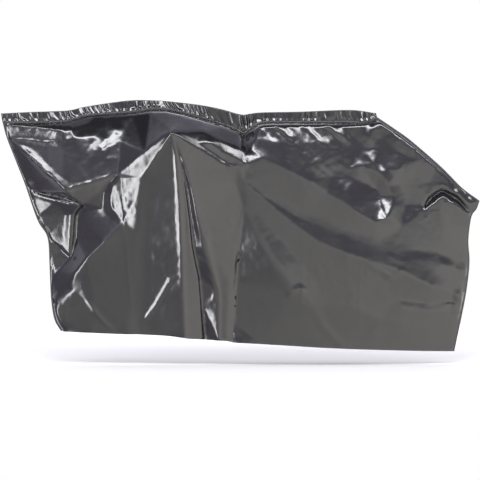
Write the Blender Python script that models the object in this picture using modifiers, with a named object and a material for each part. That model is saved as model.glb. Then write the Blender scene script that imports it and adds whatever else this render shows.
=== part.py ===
"""A bicycle cover: a flat bag of thin plastic film, open at the bottom, as it hangs over a bicycle.

The bag is two side panels of film, welded together along their tops and both ends, with a
gathered heading band on the top weld. Everything is in metres, +Z up, +X towards the rear end,
and the near side panel faces -Y. The origin is the place under the top that rests on the bicycle.

Places on a side are given as px and py, the picture element of the photograph's 480 x 480 frame
in which they lie, and "out" is how far the film stands out from the middle plane there, in
centimetres. COVER_LENGTH sets the size of one picture element.
"""
import math
from collections import namedtuple

import bpy
import numpy as np
from mathutils.geometry import delaunay_2d_cdt

# ---- driving dimensions, metres ----
COVER_LENGTH = 2.10          # front top corner to rear tip
FILM = 0.0015                # thickness of a film panel as built
SEAM_GAP = 0.0003            # gap between two pieces that touch
BAND_GAP = 0.0004            # gap under the heading band
BAND_THICKNESS = 0.0026      # heading band, two gathered layers and their weld
PLEAT_DEPTH = 0.0045         # how far a gather stands out to each side
WELD_MARGIN = 0.009          # width of the flat strip in which the two panels lie together

# ---- the photograph's frame ----
COVER_LENGTH_PX = 478.7      # the same length in picture elements
PX = COVER_LENGTH / COVER_LENGTH_PX
CM = 0.01
MOUNT_PX = 239.0             # the origin lies at mid length ...
MOUNT_PY = 134.0             # ... just under the band

NEAR_SPACING = 8.5           # px between the corners of a panel's net
FAR_SPACING = 13.0

NAME = "bicycle_cover"
FILM_COLOUR = (0.030, 0.029, 0.032, 1.0)
BAND_COLOUR = (0.026, 0.025, 0.028, 1.0)
FILM_ROUGHNESS = 0.25
BAND_ROUGHNESS = 0.3

# ---- outline, each edge as a smooth line through its own few points (px, py) ----
BAND_TOP = ((0.8, 113.7), (30, 112.2), (54, 111.4), (70, 110.4), (86, 106.8), (116, 102.2),
            (134, 100.4), (150, 100.5), (168, 101.5), (200, 105.2), (222, 109.5), (234, 113.0),
            (243, 114.9), (252, 113.6), (263, 112.6), (300, 111.9), (350, 110.2), (376, 113.4))
WELD = ((2.6, 121.5), (16, 121.8), (45, 121.6), (68, 120.0), (86, 115.0), (112, 112.6),
        (134, 111.2), (150, 108.6), (166, 108.6), (184, 112.0), (204, 117.6), (226, 124.4),
        (238, 129.6), (243.5, 132.0), (250, 128.0), (262, 121.8), (300, 121.4), (345, 121.2),
        (364, 121.6), (377, 117.2))
FRONT_EDGE = ((2.6, 121.5), (6.9, 137.5), (16, 161), (25.3, 184.9), (37.5, 220), (47.5, 237.5),
              (49.5, 266), (51, 299), (54.3, 319.5), (60.5, 331))
REAR_SLOPE = ((377, 117.2), (392, 127.2), (410.7, 140.6), (441, 166.8), (462, 187.8), (479.5, 200.7))
REAR_EDGE = ((479.5, 200.7), (476.5, 209), (471.4, 216.8), (468.4, 240), (469.6, 262),
             (467, 288), (462.5, 313), (454.5, 351.3))
NEAR_HEM = ((60.5, 331, 0.0), (65, 331.1, 4.4), (90, 331.8, 7.6), (119, 332.7, 9.6), (130, 332.9, 10.6),
            (141, 333, 10.8), (170, 334.2, 13.4), (186, 336.4, 15.4), (190, 336.9, 13.9), (203, 338, 11.2),
            (206, 338.2, 9.6), (219, 338.8, 13.8), (228, 339.4, 11.4), (233, 340.8, 12.6), (256, 342.0, 13.5),
            (284, 343.6, 13.5), (320, 346.0, 12.4), (360, 348.0, 10.4), (407, 349.8, 6.6),
            (436, 350.8, 3.4), (454.5, 351.3, 0.0))
FAR_HEM = ((60.5, 331, 0.0), (84, 330.5, 5.4), (110, 329, 9.5), (138, 327.6, 7.5),
           (164, 329, 11.6), (188, 331, 8.5), (214, 332.5, 12.0), (240, 335, 9.8),
           (268, 337, 12.6), (300, 340, 9.8), (334, 342, 11.6), (376, 345, 7.4),
           (410, 348, 4.6), (434, 350, 2.8), (454.5, 351.3, 0.0))

PLEAT_COLUMNS = 4            # corners to a gather
PLEAT_UNEVENNESS = 0.35      # by which some gathers are deeper than others ...
PLEAT_DRIFT = 0.37           # ... and how soon that comes round
BAND_ROWS = ((0.0, 0.0), (0.15, 0.0), (0.45, 0.8), (1.0, 1.0))   # height up the band, swing of its pleats

# ---- the folds of a side ----
# path: the places along the fold, each (px, py, out). round: how softly the film turns over it.
Fold = namedtuple("Fold", "name round path")

NEAR_FOLDS = (
    # front wing
    Fold("roll under the band, top", 0.7, ((12, 124.4, 0.8), (18, 124.8, 1.4), (35, 124.9, 3.0),
                                           (50, 124.9, 4.5), (62, 124.6, 5.6))),
    Fold("roll under the band", 0.7, ((12, 125.4, 1.0), (18, 126, 1.7), (35, 127.3, 4.0),
                                      (50, 129.5, 6.0), (62, 131, 8.2))),
    Fold("wing upper ridge", 0.7, ((7.5, 137.5, 0.5), (30, 139.5, 3.4), (50, 142, 6.0), (67, 142, 8.4),
                                   (76, 138, 8.8))),
    Fold("wing corner crease", 0.7, ((70.5, 124.5, 6.6), (72, 130, 7.3), (76, 138, 8.7))),
    Fold("wing diagonal ridge", 0.7, ((7.5, 137.5, 0.5), (27, 152, 4.2), (48, 173, 8.7),
                                      (67, 190, 12.6))),
    Fold("wing upright crease", 1.0, ((67, 142, 8.4), (67.5, 165, 10.6), (67, 190, 12.6))),
    Fold("wing edge crease", 0.9, ((24, 184, 0.3), (36, 181, 2.4), (45, 180, 5.2), (52, 178, 7.8))),
    Fold("tuck upper lip", 0.7, ((42, 191.5, 3.2), (54, 192, 7.0), (68, 193, 11.4), (82, 203, 8.4))),
    Fold("tuck groove", 0.6, ((38, 192, 0.8), (46, 193.5, 1.2), (58, 196, 2.8), (69, 198.5, 4.8),
                              (80, 203.5, 6.8))),
    Fold("tuck lower lip", 0.7, ((28, 190, 0.3), (42, 196, 2.2), (58, 200, 4.8), (70, 203, 6.6),
                                 (82, 205.5, 7.9))),
    Fold("tuck upper ridge", 0.7, ((67, 190, 12.6), (95, 182, 13.7), (119, 174, 14.7))),
    Fold("tuck inner valley", 0.7, ((83, 204.5, 8.0), (100, 193, 10.4), (119, 174, 14.7))),
    Fold("lower wing crest", 0.7, ((82, 205.5, 7.9), (74, 214, 4.9), (72, 235, 4.0), (71, 246, 3.4),
                                   (70, 254, 2.9))),
    Fold("lower wing highlight", 0.8, ((66, 214, 3.2), (63.5, 232, 2.4), (65.5, 246, 2.3),
                                       (70, 254, 2.9))),
    Fold("lower wing edge", 0.7, ((37, 219, 0.3), (50, 235, 0.6), (62, 246, 1.8), (70, 254, 3.2))),
    Fold("lower wing undercut", 0.7, ((40, 225, 0.3), (50, 238.5, 0.3), (62, 250, 0.8), (70, 257, 1.8))),
    Fold("lower wing trough", 0.7, ((83, 207, 5.0), (77, 216, 3.2), (76, 238, 2.3), (72, 256, 2.0))),
    Fold("curved ridge", 0.8, ((124, 222, 14.4), (105, 241, 13.2), (88, 257, 11.4), (76, 272, 9.0),
                               (72, 281, 7.6), (60, 289, 4.0), (53, 295, 0.8))),
    Fold("pocket facet", 0.8, ((51, 262, 0.6), (70, 257, 1.9), (57, 273, 1.2))),
    # between the wing and the bars
    Fold("highlight facet, top", 0.7, ((103, 150, 11.7), (117, 128, 9.7), (121, 142, 11.8),
                                       (103, 150, 11.7))),
    Fold("highlight streaks", 0.8, ((98, 160, 11.9), (109, 140, 10.3), (117, 128, 9.7))),
    Fold("highlight lower", 0.8, ((103, 150, 11.6), (88, 170, 12.0), (67, 190, 12.6))),
    Fold("belt facet, upper", 0.7, ((96, 115.8, 3.4), (106.5, 125.5, 6.6), (107.5, 115.5, 4.4))),
    Fold("belt facet, front", 0.7, ((96, 115.8, 3.4), (92, 124, 5.6), (95, 136, 8.9),
                                    (106.5, 125.5, 6.6))),
    Fold("diagonal upper side", 0.9, ((95, 136, 8.9), (84, 156, 10.5), (67, 190, 12.6))),
    Fold("dark facet edge", 0.9, ((121, 142, 11.6), (119, 174, 14.7))),
    # bars
    Fold("bar ridge, front", 0.6, ((171.5, 132.5, 24.6), (146, 152, 19.6), (119, 174, 14.7))),
    Fold("white facet edge", 0.9, ((172, 133, 24.6), (158, 157, 21.9), (143, 178, 19.1))),
    Fold("white facet foot", 0.7, ((119, 174, 14.7), (122, 178, 15.9), (143, 178, 19.1))),
    Fold("pouch left", 0.8, ((119, 174, 14.7), (113, 185, 13.7), (111, 198, 13.0), (113, 208, 12.9),
                             (124, 222, 14.4))),
    Fold("pouch hollow", 0.8, ((112, 181, 12.9), (106, 192, 10.8), (105, 208, 9.8), (112, 217, 11.0))),
    Fold("pouch middle", 0.8, ((122, 178, 15.9), (123, 200, 14.6), (124.5, 222, 14.4))),
    Fold("pouch right", 0.8, ((143, 178, 19.1), (136, 204, 17.0), (125, 222, 14.4))),
    Fold("bar ridge, down", 0.6, ((173, 133, 24.6), (178, 155, 23.9), (181, 200, 22.8), (183, 245, 20.9),
                                  (184, 283, 18.4), (186, 334, 15.6))),
    Fold("bar ridge, rear", 0.6, ((173, 133, 24.6), (198, 148, 21.2), (228, 167, 17.8))),
    Fold("bar light, rear", 0.6, ((181, 132.4, 22.7), (198, 143, 20.3), (214, 153, 18.55),
                                  (226, 162, 17.3))),
    Fold("roof crease", 0.7, ((203, 132.5, 18.3), (222, 142, 16.3), (238, 148.5, 15.1),
                              (246, 153, 14.2))),
    Fold("roof band", 0.7, ((210, 143, 19.3), (222, 151.5, 17.75), (238, 159, 16.6), (246, 164, 15.8))),
    Fold("roof arc", 0.8, ((228, 167, 17.8), (237, 166.5, 16.8), (246, 169.5, 15.8))),
    Fold("roof roll", 0.6, ((112, 117, 5.6), (124, 116.4, 7.0), (134, 115.6, 7.8), (150, 113.2, 8.0),
                            (166, 113.2, 8.2), (184, 116.6, 8.2), (204, 122, 8.2), (226, 128.8, 8.0),
                            (238, 134, 7.6), (243, 137, 7.0))),
    # pleats that hang from the bars
    Fold("first trough", 4.0, ((171, 140, 23.9), (158, 165, 20.8), (152, 180, 19.7), (149, 200, 18.1),
                               (146, 233, 15.9), (143.5, 255, 14.6), (142, 275, 13.2), (140, 300, 12.1),
                               (138, 320, 10.9))),
    Fold("first pleat, inner", 1.2, ((171.5, 138, 24.0), (173.4, 155, 22.9), (175, 180, 22.3),
                                     (176.2, 200, 21.8), (177.6, 233, 20.4), (178, 245, 19.9),
                                     (178.6, 268, 18.5))),
    Fold("left pleat", 2.4, ((143, 178, 19.1), (139, 233, 16.2), (136, 255, 14.8), (134, 290, 12.6),
                             (130, 330, 10.6))),
    Fold("rear pleat, left foot", 0.7, ((174.5, 136, 24.0), (182, 168, 22.2), (185.3, 200, 21.1),
                                        (186.5, 245, 19.4), (188, 283, 16.8), (190, 334, 14.0))),
    Fold("rear pleat, lip", 0.7, ((175, 137, 23.9), (182.5, 168, 22.4), (186, 190, 21.9),
                                  (189.8, 220, 20.7), (192, 245, 19.2), (195, 262, 17.8),
                                  (198, 275, 16.2), (200, 300, 14.2), (203, 336, 11.4))),
    Fold("rear trough", 0.7, ((183, 166, 22.0), (187.5, 190, 20.2), (191.3, 220, 18.5),
                              (193.8, 245, 17.2), (197, 262, 15.8), (200, 275, 14.2), (202, 300, 12.4),
                              (205, 336, 9.4))),
    Fold("rear pleat, crest", 0.8, ((176, 139, 24.0), (186, 165, 23.2), (192, 185, 22.4),
                                    (197, 212, 21.3), (203.5, 245, 19.3), (209, 262, 18.0),
                                    (219.5, 291, 15.2), (219, 338, 13.8))),
    Fold("rear pleat, rear side", 0.8, ((190, 173, 22.8), (200, 215, 21.0), (206, 235, 19.9),
                                        (211, 256, 18.4), (219.5, 291, 15.2))),
    Fold("rear pleat, rear foot", 0.8, ((191.5, 173, 22.0), (203, 215, 19.5), (209.5, 235, 18.4),
                                        (214, 256, 17.2), (221, 291, 14.4), (221, 338, 13.0))),
    Fold("fan dark line", 0.8, ((228, 167, 17.8), (237, 185, 15.6), (242, 203, 14.6))),
    # centre crease
    Fold("centre crease, top", 0.7, ((244, 133, 1.0), (245.5, 145, 9.8), (246, 153, 14.2),
                                     (246, 164, 15.8), (246, 169.5, 15.8), (244.5, 182, 16.2),
                                     (244.5, 205, 15.6), (241.5, 238, 14.3), (238, 262, 12.8),
                                     (237, 280, 12.2), (234.5, 320, 11.2), (232.5, 340, 10.8))),
    Fold("centre step", 0.7, ((241.5, 200, 15.9), (237.5, 238, 15.3), (233.5, 262, 14.9),
                              (230.5, 285, 14.4), (228.5, 310, 13.8), (227, 338, 13.4))),
    # saddle lobe
    Fold("lobe top", 0.7, ((249, 133, 8.0), (254, 129.5, 10.6), (262, 126, 11.8), (276, 125.4, 11.4),
                           (290, 125.2, 10.9), (305, 125.2, 10.0), (320, 125.2, 9.0), (345, 125.4, 7.6),
                           (360, 124.8, 6.7), (372, 123.6, 5.8))),
    Fold("lobe middle", 1.2, ((256, 140, 12.2), (264, 141, 13.0), (276, 143, 13.0), (290, 144, 12.9),
                              (301, 147, 12.5))),
    Fold("lobe lower rim", 0.7, ((245.5, 146, 10.6), (250, 150, 13.0), (262, 158, 14.2),
                                 (276, 165, 14.4), (290, 172, 14.4), (310, 182, 14.1),
                                 (326, 192, 13.3))),
    Fold("lobe edge", 0.7, ((248, 152, 13.6), (262, 160.3, 14.8), (276, 167.3, 15.0), (290, 174.4, 15.0),
                            (310, 184.4, 14.7), (325, 193.3, 13.9))),
    Fold("lobe arc", 1.0, ((246, 169.5, 15.8), (262, 178, 15.7), (280, 183, 15.5), (300, 184.6, 15.2))),
    Fold("lobe lower edge line", 0.7, ((326, 192.5, 13.8), (350, 207, 13.4), (362, 215, 12.9),
                                       (374, 222, 12.0))),
    Fold("lobe band, upper", 0.8, ((301, 147, 12.5), (310, 143.5, 11.6), (321, 141.5, 10.7),
                                   (327, 145, 10.6), (333, 154, 10.9))),
    Fold("lobe band, lower", 0.8, ((301, 147, 12.5), (303, 151.5, 12.8), (322, 154.5, 11.6),
                                   (333, 155, 11.0))),
    Fold("lobe streak", 0.8, ((296, 171.5, 13.9), (320, 163, 12.2), (332, 157.5, 11.0),
                              (350, 152, 8.8))),
    Fold("lobe lens", 0.8, ((310, 179, 13.3), (330, 177, 11.7), (353, 179, 10.4), (345, 191, 12.6),
                            (326, 192, 13.3))),
    Fold("lobe wedge", 0.8, ((353, 179, 10.4), (364, 201, 11.2), (379, 196, 8.4))),
    Fold("lobe facet", 0.8, ((361, 152, 7.8), (347, 168, 10.4), (360, 166, 9.6), (366, 161, 8.4))),
    Fold("lobe rear rim", 0.7, ((352, 150, 8.4), (361, 152, 8.0), (366, 156, 8.2), (373, 163, 8.6),
                                (381, 175, 8.8), (387, 185, 8.8), (391, 196, 8.9), (391, 206, 10.0),
                                (386, 217, 11.6))),
    Fold("lobe tip, blue facet", 0.7, ((379, 196, 8.4), (375, 188, 7.9), (382, 179, 8.9))),
    Fold("lobe tip", 0.6, ((374, 222, 12.0), (386, 217, 11.6), (379, 196, 8.4), (391, 196, 8.9))),
    Fold("lobe tip, left strip", 0.6, ((377.5, 197, 8.4), (380, 208, 9.7), (383, 217, 11.3))),
    Fold("rear foot", 1.6, ((396, 174, 7.4), (400, 184, 6.4), (406, 205, 6.2), (400, 226, 9.0))),
    Fold("rear step, upper", 0.8, ((350, 136, 7.4), (362, 146, 7.4), (368, 150, 7.2), (380, 148, 6.2),
                                   (395, 149, 5.6), (403, 156, 5.3), (418, 159, 4.6))),
    Fold("rear step, lower", 0.8, ((378, 163, 7.4), (386, 170, 7.9), (396, 170.5, 7.6), (403, 164, 6.0),
                                   (418, 160.5, 4.7))),
    Fold("upper rear facet", 0.9, ((376, 124, 5.0), (380, 129, 5.2), (380, 139, 5.4), (386, 143, 5.6))),
    Fold("upper rear facet, front", 0.8, ((372, 128, 6.2), (369, 138, 6.8), (362, 146, 7.4))),
    # rear end
    Fold("rear roll", 0.7, ((366, 125, 4.8), (380, 123, 5.0), (393, 132, 5.0), (411, 145.5, 4.6),
                            (436, 167, 3.6), (456, 187, 2.4))),
    Fold("dent ridge, left", 0.9, ((401, 175, 6.6), (413, 178, 5.4))),
    Fold("dent ridge, rear", 0.9, ((413, 178, 5.4), (430, 182, 4.0))),
    Fold("dent ridge, down", 0.9, ((413, 178, 5.4), (408, 195, 5.9), (423, 206, 5.4))),
    Fold("tail lip", 0.7, ((423, 205, 5.4), (427, 196.5, 5.0), (440, 187, 4.2), (458, 195, 3.2),
                           (468, 207, 1.6))),
    Fold("tail groove", 0.6, ((425, 206, 2.4), (430, 198.5, 1.4), (441, 190.5, 0.8), (457, 199, 0.6),
                              (467, 210.5, 0.4))),
    Fold("tail lower peak", 0.7, ((426, 207.5, 5.6), (441, 195.5, 5.0), (457, 206, 3.8),
                                  (468, 213, 1.8))),
    Fold("tail upright", 1.2, ((441, 195.5, 5.0), (442, 216, 5.0), (443, 240, 4.8))),
    # lower rear field
    Fold("dark band, upper edge", 5.0, ((246, 181, 16.3), (262, 193, 15.7), (300, 215, 14.4),
                                        (340, 230, 13.6), (375, 245, 12.2), (392, 253, 11.2),
                                        (405, 259, 10.2), (430, 270, 7.6), (455, 280, 4.4))),
    Fold("light band, upper edge", 1.2, ((246, 183, 16.3), (280, 212, 16.0), (300, 228, 15.7),
                                         (320, 242, 15.7), (345, 252, 15.3), (370, 261, 13.9),
                                         (400, 270, 11.7), (430, 286, 8.8), (460, 297, 4.0))),
    Fold("light band, lower edge", 1.0, ((246, 200, 16.2), (262, 215, 16.0), (280, 238, 15.9),
                                         (300, 261, 15.6), (320, 288, 15.0), (350, 305, 13.8),
                                         (380, 319, 11.5), (400, 323, 10.0), (430, 331, 6.0))),
    Fold("dark field, lower edge", 3.0, ((248, 219, 17.2), (262, 241, 17.9), (276, 264, 17.9),
                                         (292, 287, 17.0), (310, 306, 15.6))),
    Fold("rear band, upper edge", 1.2, ((396, 297, 10.4), (430, 302, 7.0), (460, 305, 3.2))),
    Fold("rear band, lower edge", 1.2, ((400, 306, 10.7), (430, 311, 7.5), (460, 313, 3.6))),
    Fold("rear fold, upper edge", 1.2, ((412, 250, 8.4), (435, 252, 5.8), (460, 258, 2.2))),
    Fold("rear fold, lower edge", 1.2, ((425, 259, 7.7), (445, 265, 5.4), (464, 272, 2.4))),
    Fold("rear edge roll", 2.0, ((456, 225, 2.4), (455, 262, 3.0), (451, 300, 3.0), (446, 340, 2.6))),
    # foot of the front
    Fold("foot ridge, front", 0.9, ((74, 290, 7.2), (95, 309, 8.8), (119, 332, 9.4))),
    Fold("front edge roll", 0.7, ((54, 300, 5.2), (57, 314, 5.6), (62, 326, 5.4))),
    Fold("foot ridge, rear", 0.7, ((184, 283, 18.4), (179, 276.3, 17.9), (172, 277, 17.0),
                                   (165, 289, 15.6), (158, 301, 14.2), (145, 321, 11.6),
                                   (138, 332, 10.6))),
)

FAR_FOLDS = (
    Fold("wing ridge", 1.0, ((8, 140, 0.4), (40, 150, 4.0), (74, 160, 8.6), (120, 156, 15.0))),
    Fold("wing diagonal", 0.8, ((14, 156, 0.4), (44, 190, 4.4), (78, 232, 8.0), (84, 268, 8.8))),
    Fold("front tuck", 0.8, ((32, 202, 0.4), (62, 214, 2.8), (96, 206, 7.8))),
    Fold("bar ridge, front", 0.8, ((168, 136, 24.0), (140, 160, 19.4), (104, 206, 12.6), (88, 262, 10.0))),
    Fold("bar ridge, rear", 0.8, ((168, 136, 24.0), (204, 158, 19.6), (250, 190, 15.2))),
    Fold("bar ridge, down", 0.8, ((168, 136, 24.0), (166, 200, 19.2), (164, 328, 11.6))),
    Fold("front trough", 1.4, ((160, 160, 18.4), (142, 220, 11.6), (138, 326, 7.5))),
    Fold("front pleat", 1.2, ((150, 168, 19.2), (120, 230, 13.6), (110, 328, 9.5))),
    Fold("rear trough", 1.4, ((178, 165, 18.6), (186, 230, 12.4), (188, 330, 8.5))),
    Fold("rear pleat", 1.2, ((190, 160, 20.6), (208, 230, 15.6), (214, 331, 12.0))),
    Fold("centre crease", 0.9, ((243.5, 134, 2.0), (244, 160, 12.4), (243, 240, 11.6), (240, 334, 9.8))),
    Fold("saddle crown", 2.4, ((262, 138, 6.4), (300, 142, 9.4), (346, 152, 10.6))),
    Fold("saddle rim", 0.9, ((258, 170, 13.6), (306, 184, 14.4), (352, 186, 12.4), (380, 176, 8.4))),
    Fold("saddle fold, front", 1.0, ((306, 184, 14.4), (276, 250, 13.2), (268, 336, 12.6))),
    Fold("saddle fold, rear", 1.0, ((352, 186, 12.4), (340, 250, 12.4), (334, 341, 11.6))),
    Fold("saddle trough", 1.8, ((330, 192, 12.0), (306, 260, 10.4), (300, 339, 9.8))),
    Fold("rear shoulder", 1.8, ((386, 140, 2.0), (424, 172, 3.8), (452, 194, 3.0))),
    Fold("rear fold", 1.2, ((392, 188, 6.2), (390, 250, 8.4), (376, 344, 7.4))),
    Fold("tail fold", 1.2, ((446, 204, 4.2), (436, 260, 5.4), (428, 348, 3.6))),
    Fold("tail tuck", 0.9, ((470, 214, 0.8), (446, 214, 2.8), (424, 206, 4.6))),
)


# ---- lines ----
def smooth_line(points, step):
    """Points every `step` px along a smooth curve through `points`, however many columns they have."""
    knots = np.array(points, float)
    ends = np.vstack([2 * knots[0] - knots[1], knots, 2 * knots[-1] - knots[-2]])
    line = [knots[0]]
    for before, start, end, after in zip(ends, ends[1:], ends[2:], ends[3:]):
        pieces = max(1, round(np.hypot(*(end - start)[:2]) / step))
        for t in np.arange(1, pieces + 1) / pieces:
            line.append(0.5 * (2 * start + (end - before) * t
                               + (2 * before - 5 * start + 4 * end - after) * t ** 2
                               + (3 * start - before - 3 * end + after) * t ** 3))
    return np.array(line)


def straight_line(points, step):
    """Points about every `step` px along the straight runs between `points`."""
    knots = np.array(points, float)
    line = [knots[0]]
    for start, end in zip(knots, knots[1:]):
        pieces = max(1, round(np.hypot(*(end - start)[:2]) / step))
        line.extend(start + (end - start) * t for t in np.arange(1, pieces + 1) / pieces)
    return np.array(line)


def with_out(points, out):
    """The same (px, py) points with one value of out added to each."""
    return [(px, py, out) for px, py in points]


def welded_edge(step):
    """The welded edge of both sides, from the foot of the rear end over the top to the front."""
    edges = (smooth_line(with_out(REAR_EDGE, 0.0), step)[::-1],
             smooth_line(with_out(REAR_SLOPE, 0.0), step)[::-1],
             smooth_line(with_out(WELD, 0.0), step)[::-1], smooth_line(with_out(FRONT_EDGE, 0.0), step))
    return np.vstack([edge[:-1] for edge in edges])


def panel_outline(hem, step):
    """The closed edge of a side panel, round from the foot of its rear end, as (px, py, out)."""
    return np.vstack([welded_edge(step), smooth_line(hem, step)[:-1]])


def inset(outline, distance):
    """The closed outline moved inwards by a distance in px."""
    along = np.roll(outline, -1, axis=0) - np.roll(outline, 1, axis=0)
    along /= np.hypot(*along.T)[:, None]
    return outline + distance * np.stack([along[:, 1], -along[:, 0]], axis=1)


# ---- the film between its folds ----
FIELD_WIDTH = 482            # px, the field reaches past the cover on every side
FIELD_TOP = 96
FIELD_HEIGHT = 262
EDGE_STEP = 7.0              # px between the corners of the panels' edges, one gather of the band
MARGIN_BEND_PX = 1.5         # in which the film turns from the flat margin into its drape
MARGIN_EASE_PX = 0.2         # by which the margin stays flat past its own width
BY_WELD_PX = 4               # film this close to a weld is measured from it
LEAST_OUT = 0.1              # cm, the film's own room beside the middle plane
OUTLINE_ROUND = 0.8          # how softly the film turns at its outline
OUTLINE_HOLD = 12.0          # how firmly the outline holds the film ...
FOLD_HOLD = 1.5              # ... and how firmly a fold does
SOFTENING_PX = (0.7, 1.4, 2.8, 5.6)   # from the sharpest folds to the roundest
TAUT_STEPS = 900             # most steps in which the film is pulled taut ...
TAUT_REST = 1e-7             # ... and the remainder at which it is taut enough
FACET_SHARE = 0.7            # how far the taut film between its folds falls into flat facets
FACET_EDGE_PX = 14           # from corner to corner of the facets along the outline
FACET_LEAST = 1.0            # square px, twice the area of the smallest facet
ROW_PITCH = 0.866            # height of an even triangle over its side
CORNER_MERGE_PX = 0.35       # corners closer than this are one
CLEAR_OF_MARGIN = 0.3        # how near a fold's corners come to the margin, over the net's spacing ...
CLEAR_OF_CORNERS = 0.62      # ... and a filling corner to its neighbours
WELD_PARTS = 64              # parts in which distances to the weld are measured


def inside(outline, px, py):
    """True where the points (px, py) lie inside the closed outline."""
    result = np.zeros(np.shape(px), bool)
    for (x0, y0), (x1, y1) in zip(outline, np.roll(outline, -1, axis=0)):
        if y0 == y1:
            continue
        crosses = (y0 > py) != (y1 > py)
        result ^= crosses & (px < x0 + (py - y0) * (x1 - x0) / (y1 - y0))
    return result


def splat(total, weight, line, values, strength):
    """Spread the values along a line over the four field points round each of its points."""
    column = np.floor(line[:, 0]).astype(int)
    row = np.floor(line[:, 1] - FIELD_TOP).astype(int)
    across, down = line[:, 0] - column, line[:, 1] - FIELD_TOP - row
    for c, r, share in ((0, 0, (1 - across) * (1 - down)), (1, 0, across * (1 - down)),
                        (0, 1, (1 - across) * down), (1, 1, across * down)):
        np.add.at(weight, (row + r, column + c), share * strength)
        np.add.at(total, (row + r, column + c), share * strength * values)


def stretch(total, weight, film):
    """Film pulled taut between the lines that hold it, found by conjugate gradients."""
    across = film[:, 1:] & film[:, :-1]
    down = film[1:] & film[:-1]

    def pull(field):
        result = weight * field
        step = (field[:, 1:] - field[:, :-1]) * across
        result[:, 1:] += step
        result[:, :-1] -= step
        step = (field[1:] - field[:-1]) * down
        result[1:] += step
        result[:-1] -= step
        return result

    field = np.where(weight > 0, total / np.maximum(weight, 1e-9), total.sum() / weight.sum())
    field[~film] = 0
    rest = np.where(film, total - pull(field), 0)
    way = rest.copy()
    size = (rest * rest).sum()
    for _ in range(TAUT_STEPS):
        pulled = pull(way)
        length = size / max((way * pulled).sum(), 1e-30)
        field += length * way
        rest -= length * pulled
        new_size = (rest * rest).sum()
        if new_size < TAUT_REST:
            break
        way = rest + way * (new_size / size)
        size = new_size
    return field


def blur(field, film, radius):
    """Gaussian blur that takes nothing from outside the film."""
    reach = int(3 * radius) + 1
    kernel = np.exp(-0.5 * (np.arange(-reach, reach + 1) / radius) ** 2)

    def spread(values):
        for axis in (0, 1):
            padded = np.pad(values, [(reach, reach) if a == axis else (0, 0) for a in (0, 1)])
            values = sum(k * np.take(padded, range(i, i + values.shape[axis]), axis=axis)
                         for i, k in enumerate(kernel))
        return values
    return spread(field * film) / np.maximum(spread(film.astype(float)), 1e-6)


def distance_to(places, others):
    """How far each place lies from the nearest of the others, in px."""
    return np.min(np.hypot(*(places[:, None] - others[None]).transpose(2, 0, 1)), axis=1)


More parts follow.
